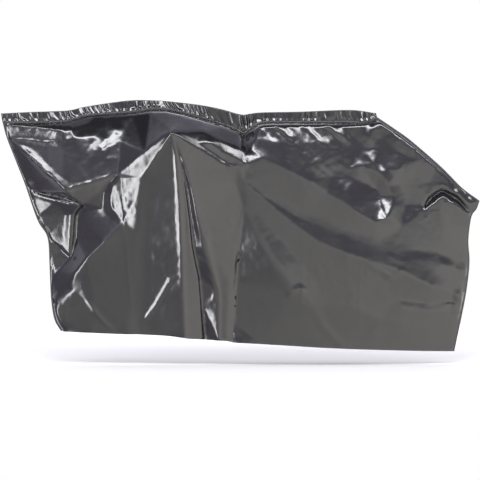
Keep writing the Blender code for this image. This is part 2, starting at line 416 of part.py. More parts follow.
class Side:
    """One side of the cover: how far its film stands out at any place."""

    def __init__(self, folds, hem):
        self.outline = panel_outline(hem, 1.0)
        self.folds = folds
        row, column = np.mgrid[0:FIELD_HEIGHT, 0:FIELD_WIDTH]
        film = inside(self.outline[:, :2], column, row + FIELD_TOP)
        for _ in range(2):
            film[1:-1, 1:-1] |= (film[2:, 1:-1] | film[:-2, 1:-1] | film[1:-1, 2:] | film[1:-1, :-2])
        out_total, round_total = np.zeros(film.shape), np.zeros(film.shape)
        weight, round_weight = np.zeros(film.shape), np.zeros(film.shape)
        lines = [(self.outline, OUTLINE_ROUND, OUTLINE_HOLD)]
        lines += [(straight_line(fold.path, 0.25), fold.round, FOLD_HOLD) for fold in folds]
        for line, softness, strength in lines:
            splat(out_total, weight, line, line[:, 2], strength)
            splat(round_total, round_weight, line, np.log(softness), 1.0)
        out = stretch(out_total, weight, film)
        out += FACET_SHARE * (self.facets(out) - out)
        softness = np.exp(stretch(round_total, round_weight, film))
        layers = [blur(out, film, radius) for radius in SOFTENING_PX]
        self.field = layers[0]
        for radius, layer in zip(SOFTENING_PX[1:], layers[1:]):
            share = np.clip(np.log2(softness / (radius / 2)), 0, 1)
            self.field = self.field + (layer - self.field) * share
        self.weld = welded_edge(0.5)[:, :2]
        self.by_weld = np.zeros(film.shape, bool)
        reach = np.arange(-BY_WELD_PX, BY_WELD_PX + 1)
        for across in reach:
            for down in reach:
                spot = np.round(self.weld + (across, down - FIELD_TOP)).astype(int)
                self.by_weld[spot[:, 1], np.clip(spot[:, 0], 0, FIELD_WIDTH - 1)] = True

    def facets(self, out):
        """The field as flat facets between the corners of the folds and of the outline."""
        corners, edges = [], []
        folds = [np.array(fold.path)[:, :2] for fold in self.folds]
        for line in (self.outline[::FACET_EDGE_PX, :2], *folds):
            first = len(corners)
            corners.extend(tuple(corner) for corner in line)
            edges.extend((i, i + 1) for i in range(first, len(corners) - 1))
        net = delaunay_2d_cdt(corners, edges, [], 0, CORNER_MERGE_PX)
        corners = np.array([tuple(corner) for corner in net[0]])
        row = np.clip(np.round(corners[:, 1]).astype(int) - FIELD_TOP, 0, FIELD_HEIGHT - 1)
        held = out[row, np.clip(np.round(corners[:, 0]).astype(int), 0, FIELD_WIDTH - 1)]
        flat = out.copy()
        for face in net[2]:
            (ax, ay), (bx, by), (cx, cy) = corners[list(face)]
            area = (bx - ax) * (cy - ay) - (cx - ax) * (by - ay)
            if abs(area) < FACET_LEAST:
                continue
            left, right = math.floor(min(ax, bx, cx)), math.ceil(max(ax, bx, cx)) + 1
            top, foot = math.floor(min(ay, by, cy)), math.ceil(max(ay, by, cy)) + 1
            py, px = np.mgrid[top:foot, max(left, 0):min(right, FIELD_WIDTH)]
            second = ((px - ax) * (cy - ay) - (cx - ax) * (py - ay)) / area
            third = ((bx - ax) * (py - ay) - (px - ax) * (by - ay)) / area
            first = 1 - second - third
            here = np.minimum(np.minimum(first, second), third) > -0.001
            level = first * held[face[0]] + second * held[face[1]] + third * held[face[2]]
            flat[py[here] - FIELD_TOP, px[here]] = level[here]
        return flat

    def out(self, px, py):
        """How far the film stands out at (px, py), in centimetres: flat in the margin by the welds."""
        column = np.clip(px, 0, FIELD_WIDTH - 2.001)
        row = np.clip(py - FIELD_TOP, 0, FIELD_HEIGHT - 2.001)
        c, r = np.floor(column).astype(int), np.floor(row).astype(int)
        a, b = column - c, row - r
        value = ((1 - b) * ((1 - a) * self.field[r, c] + a * self.field[r, c + 1])
                 + b * ((1 - a) * self.field[r + 1, c] + a * self.field[r + 1, c + 1]))
        close = np.flatnonzero(self.by_weld[r, c])
        places = np.stack([px, py], axis=1)[close]
        parts = np.array_split(places, WELD_PARTS)
        from_weld = np.concatenate([distance_to(part, self.weld) for part in parts])
        rise = np.ones(len(px))
        rise[close] = np.clip((from_weld - WELD_MARGIN / PX - MARGIN_EASE_PX) / MARGIN_BEND_PX, 0, 1)
        return np.maximum(value, LEAST_OUT) * rise


def place(px, py, out):
    """Metres in the part's frame for a place on the cover, out in centimetres towards -Y."""
    return np.stack([(np.asarray(px) - MOUNT_PX) * PX, -np.asarray(out) * CM,
                     (MOUNT_PY - np.asarray(py)) * PX], axis=-1)


# ---- solids ----
def material(name, colour, roughness):
    """A Principled material in one colour."""
    made = bpy.data.materials.new(name)
    made.use_nodes = True
    shader = made.node_tree.nodes["Principled BSDF"]
    shader.inputs["Base Color"].default_value = colour
    shader.inputs["Roughness"].default_value = roughness
    return made


def new_object(name, points, faces, finish, collection):
    """A mesh object made of points and faces."""
    mesh = bpy.data.meshes.new(name)
    mesh.from_pydata([tuple(map(float, p)) for p in points], [], faces)
    mesh.materials.append(finish)
    mesh.shade_smooth()
    made = bpy.data.objects.new(name, mesh)
    collection.objects.link(made)
    return made


def fold_aligned_net(side, hem, spacing):
    """Triangles over a side whose edges run along its folds: places (px, py) and faces."""
    outline = panel_outline(hem, EDGE_STEP)[:, :2]
    margin = inset(outline, WELD_MARGIN / PX)
    points, edges = [], []

    def add_line(line, closed=False):
        first, count = len(points), len(line)
        points.extend(tuple(p) for p in line)
        edges.extend((first + i, first + i + 1) for i in range(count - 1))
        if closed:
            edges.append((first + count - 1, first))

    add_line(outline, closed=True)
    add_line(margin, closed=True)
    for fold in side.folds:
        line = straight_line(fold.path, spacing)[:, :2]
        clear = distance_to(line, margin) > CLEAR_OF_MARGIN * spacing
        add_line(line[clear & inside(margin, line[:, 0], line[:, 1])])
    held = np.array(points)
    for number, height in enumerate(np.arange(0, FIELD_HEIGHT, spacing * ROW_PITCH)):
        px = np.arange(0.5 * spacing * (number % 2), FIELD_WIDTH, spacing)
        fill = np.stack([px, np.full(px.shape, FIELD_TOP + height)], axis=1)
        clear = distance_to(fill, held) > CLEAR_OF_CORNERS * spacing
        points.extend(tuple(p) for p in fill[clear & inside(margin, fill[:, 0], fill[:, 1])])
    net = delaunay_2d_cdt(points, edges, [], 1, CORNER_MERGE_PX)
    return np.array([tuple(p) for p in net[0]]), [tuple(face) for face in net[2]]


def side_panel(name, side, hem, spacing, facing, finish, collection):
    """A film panel: the net of its side set out from the middle plane and given its thickness."""
    places, faces = fold_aligned_net(side, hem, spacing)
    out = side.out(places[:, 0], places[:, 1])
    points = place(places[:, 0], places[:, 1], out * facing)
    points[:, 1] -= facing * SEAM_GAP / 2
    a, b, c = (points[list(corner)] for corner in zip(*faces))
    turned = np.cross(b - a, c - a)[:, 1].sum() * facing > 0
    if turned:
        faces = [face[::-1] for face in faces]
    made = new_object(name, points, faces, finish, collection)
    shell = made.modifiers.new("film", "SOLIDIFY")
    shell.thickness = FILM
    shell.offset = 1.0
    return made


def heading_band(name, finish, collection):
    """The gathered strip above the weld: pleats that grow from the weld to the free top edge."""
    low = straight_line(smooth_line(WELD, EDGE_STEP), EDGE_STEP / PLEAT_COLUMNS)
    top = smooth_line(BAND_TOP, 1.0)
    reach = np.concatenate([[0], np.cumsum(np.hypot(*np.diff(top, axis=0).T))])
    share = np.linspace(0, reach[-1], len(low))
    top = np.stack([np.interp(share, reach, top[:, i]) for i in (0, 1)], axis=1)
    phase = np.arange(len(low)) * 2 * np.pi / PLEAT_COLUMNS
    gather = np.sin(phase) * (1 + PLEAT_UNEVENNESS * np.sin(PLEAT_DRIFT * phase))
    points = []
    for height, swing in BAND_ROWS:
        line = low + (top - low) * height
        points.append(place(line[:, 0], line[:, 1], PLEAT_DEPTH / CM * swing * gather))
    points = np.array(points)
    points[:, :, 2] += BAND_GAP
    count = len(low)
    faces = [(r * count + c, r * count + c + 1, (r + 1) * count + c + 1, (r + 1) * count + c)
             for r in range(len(BAND_ROWS) - 1) for c in range(count - 1)]
    made = new_object(name, points.reshape(-1, 3), faces, finish, collection)
    shell = made.modifiers.new("band", "SOLIDIFY")
    shell.thickness = BAND_THICKNESS
    shell.offset = 0.0
    return made


def build():
    """The whole cover in its own collection."""
    for old in list(bpy.data.objects):
        bpy.data.objects.remove(old)
    collection = bpy.data.collections.new(NAME)
    bpy.context.scene.collection.children.link(collection)
    film = material("film", FILM_COLOUR, FILM_ROUGHNESS)
    band = material("heading", BAND_COLOUR, BAND_ROUGHNESS)
    near = Side(NEAR_FOLDS, NEAR_HEM)
    far = Side(FAR_FOLDS, FAR_HEM)
    side_panel("side_near", near, NEAR_HEM, NEAR_SPACING, 1, film, collection)
    side_panel("side_far", far, FAR_HEM, FAR_SPACING, -1, film, collection)
    heading_band("heading_band", band, collection)


if __name__ == "__main__":
    build()
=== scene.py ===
"""Looks of the bicycle cover: a thin dark film bag, held up by the bars and saddle under it.

Places on a side are given as px and py, the picture element of the photograph's 480 x 480 frame in
which they lie, and "out" is how far the film stands out from the middle plane there, in
centimetres. The frame's length sets the size of one picture element.
"""
import math
from collections import namedtuple
import bpy
import numpy as np
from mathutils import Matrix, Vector
from mathutils.geometry import delaunay_2d_cdt


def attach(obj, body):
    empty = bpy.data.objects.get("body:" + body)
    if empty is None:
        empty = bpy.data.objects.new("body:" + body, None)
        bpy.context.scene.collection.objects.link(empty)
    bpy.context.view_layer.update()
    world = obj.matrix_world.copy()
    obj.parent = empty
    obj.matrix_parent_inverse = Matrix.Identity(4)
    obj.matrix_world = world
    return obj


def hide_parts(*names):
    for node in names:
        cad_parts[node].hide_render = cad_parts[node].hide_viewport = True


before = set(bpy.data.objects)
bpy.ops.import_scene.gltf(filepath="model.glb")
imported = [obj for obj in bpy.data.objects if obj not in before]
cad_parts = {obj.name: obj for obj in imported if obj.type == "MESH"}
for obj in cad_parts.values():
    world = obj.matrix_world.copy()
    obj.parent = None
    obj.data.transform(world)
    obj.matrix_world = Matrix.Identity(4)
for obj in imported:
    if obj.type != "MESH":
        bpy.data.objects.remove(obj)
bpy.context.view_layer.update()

# ---- sizes, metres ----
COVER_LENGTH = 2.10  # front top corner to rear tip
FILM = 0.0012  # thickness of a film panel as shown
SEAM_GAP = 0.0003  # gap between two pieces that touch
BAND_THICKNESS = 0.0014  # heading band, two gathered layers and their weld
WELD_MARGIN = 0.006  # width of the flat strip in which the two panels lie together
GROUND_PY = 364.0  # the ground under the wheels, in the photograph's frame
NEAR_SPACING = 6.9  # px between the corners of a panel's net, before it is made finer
FAR_SPACING = 9.0
FINER = 2  # times that every triangle of the net is cut in four

# ---- the photograph's frame ----
COVER_LENGTH_PX = 478.7  # the same length in picture elements
PX = COVER_LENGTH / COVER_LENGTH_PX
CM = 0.01
MOUNT_PX = 239.0  # the origin lies at mid length ...
MOUNT_PY = 134.0  # ... just under the band

# ---- outline, each edge as a smooth line through its own few points (px, py) ----
BAND_TOP = ((0.8, 113.7), (30, 112.2), (54, 111.4), (70, 110.4), (86, 106.8), (116, 102.2),
            (134, 100.4), (150, 100.5), (168, 101.5), (200, 105.2), (222, 109.5), (234, 113),
            (243, 114.9), (252, 113.6), (263, 112.6), (300, 111.9), (350, 110.2), (376, 113.4))
WELD = ((2.6, 121.5), (16, 121.8), (45, 121.6), (68, 120), (86, 115), (112, 112.6),
        (134, 111.2), (150, 108.6), (166, 108.6), (184, 112), (204, 117.6), (226, 124.4),
        (238, 129.6), (243.5, 132), (250, 128), (262, 121.8), (300, 121.4), (345, 121.2),
        (364, 121.6), (377, 117.2))
FRONT_EDGE = ((2.6, 121.5), (6.9, 137.5), (16, 161), (25.3, 184.9), (37.5, 220), (47.5, 237.5),
              (49.5, 266), (51, 299), (54.3, 319.5), (60.5, 331))
REAR_SLOPE = ((377, 117.2), (392, 127.2), (410.7, 140.6), (441, 166.8), (462, 187.8), (479.5, 200.7))
REAR_EDGE = ((479.5, 200.7), (476.5, 209), (471.4, 216.8), (468.4, 240), (469.6, 262),
             (467, 288), (462.5, 313), (454.5, 351.3))
NEAR_HEM = ((60.5, 331, 0), (65, 331.1, 4.4), (90, 331.8, 7.6), (119, 332.7, 9.6), (130, 332.9, 10.6),
            (141, 333, 10.8), (170, 334.2, 13.4), (186, 336.4, 15.4), (190, 336.9, 13.9),
            (203, 338, 11.2), (206, 338.2, 9.6), (219, 338.8, 13.8), (228, 339.4, 11.4),
            (233, 340.8, 12.6), (256, 342, 13.5), (284, 343.6, 13.5), (320, 346, 12.4),
            (360, 348, 10.4), (407, 349.8, 6.6), (436, 350.8, 3.4), (454.5, 351.3, 0))
FAR_HEM = ((60.5, 331, 0), (84, 330.5, 5.4), (110, 329, 9.5), (138, 327.6, 7.5), (164, 329, 11.6),
           (188, 331, 8.5), (214, 332.5, 12), (240, 335, 9.8), (268, 337, 12.6), (300, 340, 9.8),
           (334, 342, 11.6), (376, 345, 7.4), (410, 348, 4.6), (434, 350, 2.8), (454.5, 351.3, 0))

# ---- the folds that carry a side's form ----
# path: the places along the fold, each (px, py, out). round: how softly the film turns over it.
Fold = namedtuple("Fold", "name round path")

NEAR_FOLDS = [Fold(*row) for row in (
    # front wing
    ("roll under the band, top", 0.7, ((12, 124.4, 0.8), (18, 124.8, 1.4), (35, 124.9, 3),
     (50, 124.9, 4.5), (62, 124.6, 5.6))),
    ("roll under the band", 0.7, ((12, 125.4, 1), (18, 126, 1.7), (35, 127.3, 4), (50, 129.5, 6),
     (62, 131, 8.2))),
    ("wing upper ridge", 0.7, ((7.5, 137.5, 0.5), (30, 139.5, 3.4), (50, 142, 6), (67, 142, 8.4),
     (76, 138, 8.8))),
    ("wing corner crease", 0.7, ((70.5, 124.5, 6.6), (72, 130, 7.3), (76, 138, 8.7))),
    ("wing diagonal ridge", 0.7, ((7.5, 137.5, 0.5), (27, 152, 4.2), (48, 173, 8.7), (67, 190, 12.6))),
    ("wing upright crease", 1, ((67, 142, 8.4), (67.5, 165, 10.6), (67, 190, 12.6))),
    ("wing edge crease", 0.9, ((24, 184, 0.3), (36, 181, 2.4), (45, 180, 5.2), (52, 178, 7.8))),
    ("tuck upper lip", 0.7, ((42, 191.5, 3.2), (54, 192, 7), (68, 193, 11.4), (82, 203, 8.4))),
    ("tuck groove", 0.6, ((38, 192, 0.8), (46, 193.5, 1.2), (58, 196, 2.8), (69, 198.5, 4.8),
     (80, 203.5, 6.8))),
    ("tuck lower lip", 0.7, ((28, 190, 0.3), (42, 196, 2.2), (58, 200, 4.8), (70, 203, 6.6),
     (82, 205.5, 7.9))),
    ("tuck upper ridge", 0.7, ((67, 190, 12.6), (95, 182, 13.7), (119, 174, 14.7))),
    ("tuck inner valley", 0.7, ((83, 204.5, 8), (100, 193, 10.4), (119, 174, 14.7))),
    ("lower wing crest", 0.7, ((82, 205.5, 7.9), (74, 214, 4.9), (72, 235, 4), (71, 246, 3.4),
     (70, 254, 2.9))),
    ("lower wing highlight", 0.8, ((66, 214, 3.2), (63.5, 232, 2.4), (65.5, 246, 2.3), (70, 254, 2.9))),
    ("lower wing edge", 0.7, ((37, 219, 0.3), (50, 235, 0.6), (62, 246, 1.8), (70, 254, 3.2))),
    ("lower wing undercut", 0.7, ((40, 225, 0.3), (50, 238.5, 0.3), (62, 250, 0.8), (70, 257, 1.8))),
    ("lower wing trough", 0.7, ((83, 207, 5), (77, 216, 3.2), (76, 238, 2.3), (72, 256, 2))),
    ("curved ridge", 0.8, ((124, 222, 14.4), (105, 241, 13.2), (88, 257, 11.4), (76, 272, 9),
     (72, 281, 7.6), (60, 289, 4), (53, 295, 0.8))),
    ("pocket facet", 0.8, ((51, 262, 0.6), (70, 257, 1.9), (57, 273, 1.2))),
    # between the wing and the bars
    ("highlight facet, top", 0.7, ((103, 150, 11.7), (117, 128, 9.2), (121, 142, 11.8),
     (103, 150, 11.7))),
    ("highlight streaks", 0.8, ((98, 160, 11.9), (109, 140, 10.3), (117, 128, 9.2))),
    ("highlight lower", 0.8, ((103, 150, 11.6), (88, 170, 12), (67, 190, 12.6))),
    ("belt facet, upper", 0.7, ((96, 115.8, 3.4), (106.5, 125.5, 6.6), (107.5, 115.5, 4.4))),
    ("belt facet, front", 0.7, ((96, 115.8, 3.4), (92, 124, 5.6), (95, 136, 8.9), (106.5, 125.5, 6.6))),
    ("diagonal upper side", 0.9, ((95, 136, 8.9), (84, 156, 10.5), (67, 190, 12.6))),
    ("dark facet edge", 0.9, ((121, 142, 11.6), (119, 174, 14.7))),
    # bars
    ("bar ridge, front", 0.6, ((171.5, 132.5, 24.6), (146, 152, 19.6), (119, 174, 14.7))),
    ("white facet edge", 0.9, ((172, 133, 24.6), (158, 157, 21.9), (143, 178, 19.1))),
    ("white facet foot", 0.7, ((119, 174, 14.7), (122, 178, 15.9), (143, 178, 19.1))),
    ("pouch left", 0.8, ((119, 174, 14.7), (113, 185, 13.7), (111, 198, 13), (113, 208, 12.9),
     (124, 222, 14.4))),
    ("pouch hollow", 0.8, ((112, 181, 12.9), (106, 192, 10.8), (105, 208, 9.8), (112, 217, 11))),
    ("pouch middle", 0.8, ((122, 178, 15.9), (123, 200, 14.6), (124.5, 222, 14.4))),
    ("pouch right", 0.8, ((143, 178, 19.1), (136, 204, 17), (125, 222, 14.4))),
    ("bar ridge, down", 0.6, ((173, 133, 24.6), (178, 155, 23.9), (181, 200, 22.8), (183, 245, 20.9),
     (184, 283, 18.4), (186, 334, 15.6))),
    ("bar ridge, rear", 0.6, ((173, 133, 24.6), (198, 148, 21.2), (228, 167, 17.8))),
    ("bar light, rear", 0.6, ((181, 132.4, 22.7), (198, 143, 20.3), (214, 153, 18.55),
     (226, 162, 17.3))),
    ("roof crease", 0.7, ((203, 132.5, 18.3), (222, 142, 16.3), (238, 148.5, 15.1), (246, 153, 14.2))),
    ("roof band", 0.7, ((210, 143, 19.3), (222, 151.5, 17.75), (238, 159, 16.6), (246, 164, 15.8))),
    ("roof arc", 0.8, ((228, 167, 17.8), (237, 166.5, 16.8), (246, 169.5, 15.8))),
    ("roof roll", 0.6, ((112, 117, 5.6), (124, 116.4, 7), (134, 115.6, 7.8), (150, 113.2, 8),
     (166, 113.2, 8.2), (184, 116.6, 8.2), (204, 122, 8.2), (226, 128.8, 8), (238, 134, 7.6),
     (243, 137, 7))),
    # pleats that hang from the bars
    ("first trough", 4, ((171, 140, 23.9), (158, 165, 20.9), (152, 180, 19.9), (149, 200, 18.5),
     (146, 233, 16.4), (143.5, 255, 15.1), (142, 275, 13.7), (140, 300, 12.4), (138, 320, 11))),
    ("first pleat, inner", 1.2, ((171.5, 138, 24), (173.4, 155, 22.9), (175, 180, 22.3),
     (176.2, 200, 21.8), (177.6, 233, 20.4), (178, 245, 19.9), (178.6, 268, 18.5))),
    ("left pleat", 2.4, ((143, 178, 19.1), (139, 233, 16.2), (136, 255, 14.8), (134, 290, 12.6),
     (130, 330, 10.6))),
    ("rear pleat, left foot", 0.7, ((174.5, 136, 24), (182, 168, 22.2), (185.3, 200, 21.1),
     (186.5, 245, 19.4), (188, 283, 16.8), (190, 334, 14))),
    ("rear pleat, lip", 0.7, ((175, 137, 23.9), (182.5, 168, 22.4), (186, 190, 21.9),
     (189.8, 220, 20.7), (192, 245, 19.2), (195, 262, 17.8), (198, 275, 16.2), (200, 300, 14.2),
     (203, 336, 11.4))),
    ("rear trough", 0.7, ((183, 166, 22), (187.5, 190, 20.2), (191.3, 220, 18.5), (193.8, 245, 17.2),
     (197, 262, 15.8), (200, 275, 14.2), (202, 300, 12.4), (205, 336, 9.4))),
    ("rear pleat, crest", 0.8, ((176, 139, 24), (186, 165, 23.2), (192, 185, 22.4), (197, 212, 21.3),
     (203.5, 245, 19.3), (209, 262, 18), (219.5, 291, 15.2), (219, 338, 13.8))),
    ("rear pleat, rear side", 0.8, ((190, 173, 22.8), (200, 215, 21), (206, 235, 19.9),
     (211, 256, 18.4), (219.5, 291, 15.2))),
    ("rear pleat, rear foot", 0.8, ((191.5, 173, 22), (203, 215, 19.5), (209.5, 235, 18.4),
     (214, 256, 17.2), (221, 291, 14.4), (221, 338, 13))),
    ("fan dark line", 0.8, ((228, 167, 17.8), (237, 185, 15.6), (242, 203, 14.6))),
    # centre crease
    ("centre crease, top", 0.7, ((244, 133, 1), (245.5, 145, 9.8), (246, 153, 14.2), (246, 164, 15.8),
     (246, 169.5, 15.8), (244.5, 182, 16.2), (244.5, 205, 15.6), (241.5, 238, 14.3),
     (238, 262, 12.8), (237, 280, 12.2), (234.5, 320, 11.2), (232.5, 340, 10.8))),
    ("centre step", 0.7, ((241.5, 200, 15.9), (237.5, 238, 15.3), (233.5, 262, 14.9),
     (230.5, 285, 14.4), (228.5, 310, 13.8), (227, 338, 13.4))),
    # saddle lobe
    ("lobe top", 0.7, ((249, 133, 8), (254, 129.5, 11.2), (262, 126, 12.8), (276, 125.4, 12.5),
     (290, 125.2, 12), (305, 125.2, 10.8), (320, 125.2, 9.5), (345, 125.4, 7.6), (360, 124.8, 6.7),
     (372, 123.6, 5.8))),
    ("lobe middle", 1.2, ((256, 140, 13.4), (264, 141, 13.9), (276, 143, 13.9), (290, 144, 13.6),
     (301, 147, 13))),
    ("lobe lower rim", 0.7, ((245.5, 146, 10.6), (250, 150, 13.4), (262, 158, 15.5), (276, 165, 15.6),
     (290, 172, 15.6), (310, 182, 15), (326, 192, 13.6))),
    ("lobe arc", 1, ((246, 169.5, 15.8), (262, 178, 15.7), (280, 183, 15.5), (300, 184.6, 15.2))),
    ("lobe lower edge line", 0.7, ((326, 192.5, 13.8), (350, 207, 13.4), (362, 215, 12.9),
     (374, 222, 12))),
    ("lobe band, upper", 0.8, ((301, 147, 13), (310, 143.5, 12), (321, 141.5, 10.9),
     (327, 145, 10.7), (333, 154, 10.9))),
    ("lobe band, lower", 0.8, ((301, 147, 13), (303, 151.5, 13.2), (322, 154.5, 11.7),
     (333, 155, 11))),
    ("lobe streak", 0.8, ((296, 171.5, 15.2), (320, 163, 12.8), (332, 157.5, 11.2), (350, 152, 8.8))),
    ("lobe lens", 0.8, ((310, 179, 14.6), (330, 177, 12.2), (353, 179, 10.4), (345, 191, 12.6),
     (326, 192, 13.6))),
    ("lobe wedge", 0.8, ((353, 179, 10.4), (364, 201, 11.2), (379, 196, 8.4))),
    ("lobe facet", 0.8, ((361, 152, 7.8), (347, 168, 10.4), (360, 166, 9.6), (366, 161, 8.4))),
    ("lobe rear rim", 0.7, ((352, 150, 8.4), (361, 152, 8), (366, 156, 8.2), (373, 163, 8.6),
     (381, 175, 8.8), (387, 185, 8.8), (391, 196, 8.9), (391, 206, 10), (386, 217, 11.6))),
    ("lobe tip, blue facet", 0.7, ((379, 196, 8.4), (375, 188, 7.9), (382, 179, 8.9))),
    ("lobe tip", 0.6, ((374, 222, 12), (386, 217, 11.6), (379, 196, 8.4), (391, 196, 8.9))),
    ("lobe tip, left strip", 0.6, ((377.5, 197, 8.4), (380, 208, 9.7), (383, 217, 11.3))),
    ("rear foot", 1.6, ((396, 174, 7.4), (400, 184, 6.4), (406, 205, 6.2), (400, 226, 9))),
    ("rear step, upper", 0.8, ((350, 136, 7.4), (362, 146, 7.4), (368, 150, 7.2), (380, 148, 6.2),
     (395, 149, 5.6), (403, 156, 5.3), (418, 159, 4.6))),
    ("rear step, lower", 0.8, ((378, 163, 7.4), (386, 170, 7.9), (396, 170.5, 7.6), (403, 164, 6),
     (418, 160.5, 4.7))),
    ("upper rear facet", 0.9, ((376, 124, 5), (380, 129, 5.2), (380, 139, 5.4), (386, 143, 5.6))),
    ("upper rear facet, front", 0.8, ((372, 128, 6.2), (369, 138, 6.8), (362, 146, 7.4))),
    # rear end
    ("rear roll", 0.7, ((366, 125, 4.8), (380, 123, 5), (393, 132, 5), (411, 145.5, 4.6),
     (436, 167, 3.6), (456, 187, 2.4))),
    ("dent ridge, left", 0.9, ((401, 175, 6.6), (413, 178, 5.4))),
    ("dent ridge, rear", 0.9, ((413, 178, 5.4), (430, 182, 4))),
    ("dent ridge, down", 0.9, ((413, 178, 5.4), (408, 195, 5.9), (423, 206, 5.4))),
    ("tail lip", 0.7, ((423, 205, 5.4), (427, 196.5, 5), (440, 187, 4.2), (458, 195, 3.2),
     (468, 207, 1.6))),
    ("tail groove", 0.6, ((425, 206, 2.4), (430, 198.5, 1.4), (441, 190.5, 0.8), (457, 199, 0.6),
     (467, 210.5, 0.4))),
    ("tail lower peak", 0.7, ((426, 207.5, 5.6), (441, 195.5, 5), (457, 206, 3.8), (468, 213, 1.8))),
    ("tail upright", 1.2, ((441, 195.5, 5), (442, 216, 5), (443, 240, 4.8))),
    # lower rear field
    ("dark band, upper edge", 5, ((246, 181, 16.3), (262, 193, 15.7), (300, 215, 14.4),
     (340, 230, 13.6), (375, 245, 12.2), (392, 253, 11.2), (405, 259, 10.2), (430, 270, 7.6),
     (455, 280, 4.4))),
    ("light band, upper edge", 1.2, ((246, 183, 16.3), (280, 212, 16), (300, 228, 15.7),
     (320, 242, 15.7), (345, 252, 15.3), (370, 261, 13.9), (400, 270, 11.7), (430, 286, 8.8),
     (460, 297, 4))),
    ("light band, lower edge", 1, ((247.5, 201, 15.9), (262, 215, 16), (280, 238, 15.9),
     (300, 261, 15.6), (320, 288, 15), (350, 305, 13.8), (380, 319, 11.5), (400, 323, 10),
     (430, 331, 6))),
    ("dark field, lower edge", 3, ((252, 222, 16.2), (262, 241, 17.2), (276, 264, 17.7),
     (292, 287, 17), (310, 306, 15.6))),
    ("rear band, upper edge", 1.2, ((396, 297, 10.4), (430, 302, 7), (460, 305, 3.2))),
    ("rear band, lower edge", 1.2, ((400, 306, 10.7), (430, 311, 7.5), (460, 313, 3.6))),
    ("rear fold, upper edge", 1.2, ((412, 250, 8.4), (435, 252, 5.8), (460, 258, 2.2))),
    ("rear fold, lower edge", 1.2, ((425, 259, 7.7), (445, 265, 5.4), (464, 272, 2.4))),
    ("rear edge roll", 2, ((456, 225, 2.4), (455, 262, 3), (451, 300, 3), (446, 340, 2.6))),
    # foot of the front
    ("foot ridge, front", 0.9, ((74, 290, 7.2), (95, 309, 8.8), (119, 332, 9.4))),
    ("front edge roll", 0.7, ((54, 300, 5.2), (57, 314, 5.6), (62, 326, 5.4))),
    ("foot ridge, rear", 0.7, ((184, 283, 18.4), (179, 276.3, 17.9), (172, 277, 17), (165, 289, 15.6),
     (158, 301, 14.2), (145, 321, 11.6), (138, 332, 10.6))),
)]

FAR_FOLDS = [Fold(*row) for row in (
    ("wing ridge", 1, ((8, 140, 0.4), (40, 150, 4), (74, 160, 8.6), (120, 156, 15))),
    ("wing diagonal", 0.8, ((14, 156, 0.4), (44, 190, 4.4), (78, 232, 8), (84, 268, 8.8))),
    ("front tuck", 0.8, ((32, 202, 0.4), (62, 214, 2.8), (96, 206, 7.8))),
    ("bar ridge, front", 0.8, ((168, 136, 24), (140, 160, 19.4), (104, 206, 12.6), (88, 262, 10))),
    ("bar ridge, rear", 0.8, ((168, 136, 24), (204, 158, 19.6), (250, 190, 15.2))),
    ("bar ridge, down", 0.8, ((168, 136, 24), (166, 200, 19.2), (164, 328, 11.6))),
    ("front trough", 1.4, ((160, 160, 18.4), (142, 220, 11.6), (138, 326, 7.5))),
    ("front pleat", 1.2, ((150, 168, 19.2), (120, 230, 13.6), (110, 328, 9.5))),
    ("rear trough", 1.4, ((178, 165, 18.6), (186, 230, 12.4), (188, 330, 8.5))),
    ("rear pleat", 1.2, ((190, 160, 20.6), (208, 230, 15.6), (214, 331, 12))),
    ("centre crease", 0.9, ((243.5, 134, 2), (244, 160, 12.4), (243, 240, 11.6), (240, 334, 9.8))),
    ("saddle crown", 2.4, ((262, 138, 6.4), (300, 142, 9.4), (346, 152, 10.6))),
    ("saddle rim", 0.9, ((258, 170, 13.6), (306, 184, 14.4), (352, 186, 12.4), (380, 176, 8.4))),
    ("saddle fold, front", 1, ((306, 184, 14.4), (276, 250, 13.2), (268, 336, 12.6))),
    ("saddle fold, rear", 1, ((352, 186, 12.4), (340, 250, 12.4), (334, 341, 11.6))),
    ("saddle trough", 1.8, ((330, 192, 12), (306, 260, 10.4), (300, 339, 9.8))),
    ("rear shoulder", 1.8, ((386, 140, 2), (424, 172, 3.8), (452, 194, 3))),
    ("rear fold", 1.2, ((392, 188, 6.2), (390, 250, 8.4), (376, 344, 7.4))),
    ("tail fold", 1.2, ((446, 204, 4.2), (436, 260, 5.4), (428, 348, 3.6))),
    ("tail tuck", 0.9, ((470, 214, 0.8), (446, 214, 2.8), (424, 206, 4.6))),
)]

# ---- creases that lie on that form ----
# height in centimetres above the film round it, left and right: how far each flank reaches, in px,
# as seen along the path. Both ends taper off.
Crease = namedtuple("Crease", "name height left right path")
PACKAGING_FLANK = 2
PACKAGING_FRONT = ((122, 168), (126, 220), (130, 280), (135, 323))


def packaging(*creases):
    """The light creases from the packaging, each given as its height and its path."""
    return [Crease("packaging crease", height, PACKAGING_FLANK, PACKAGING_FLANK, path)
            for height, path in creases]


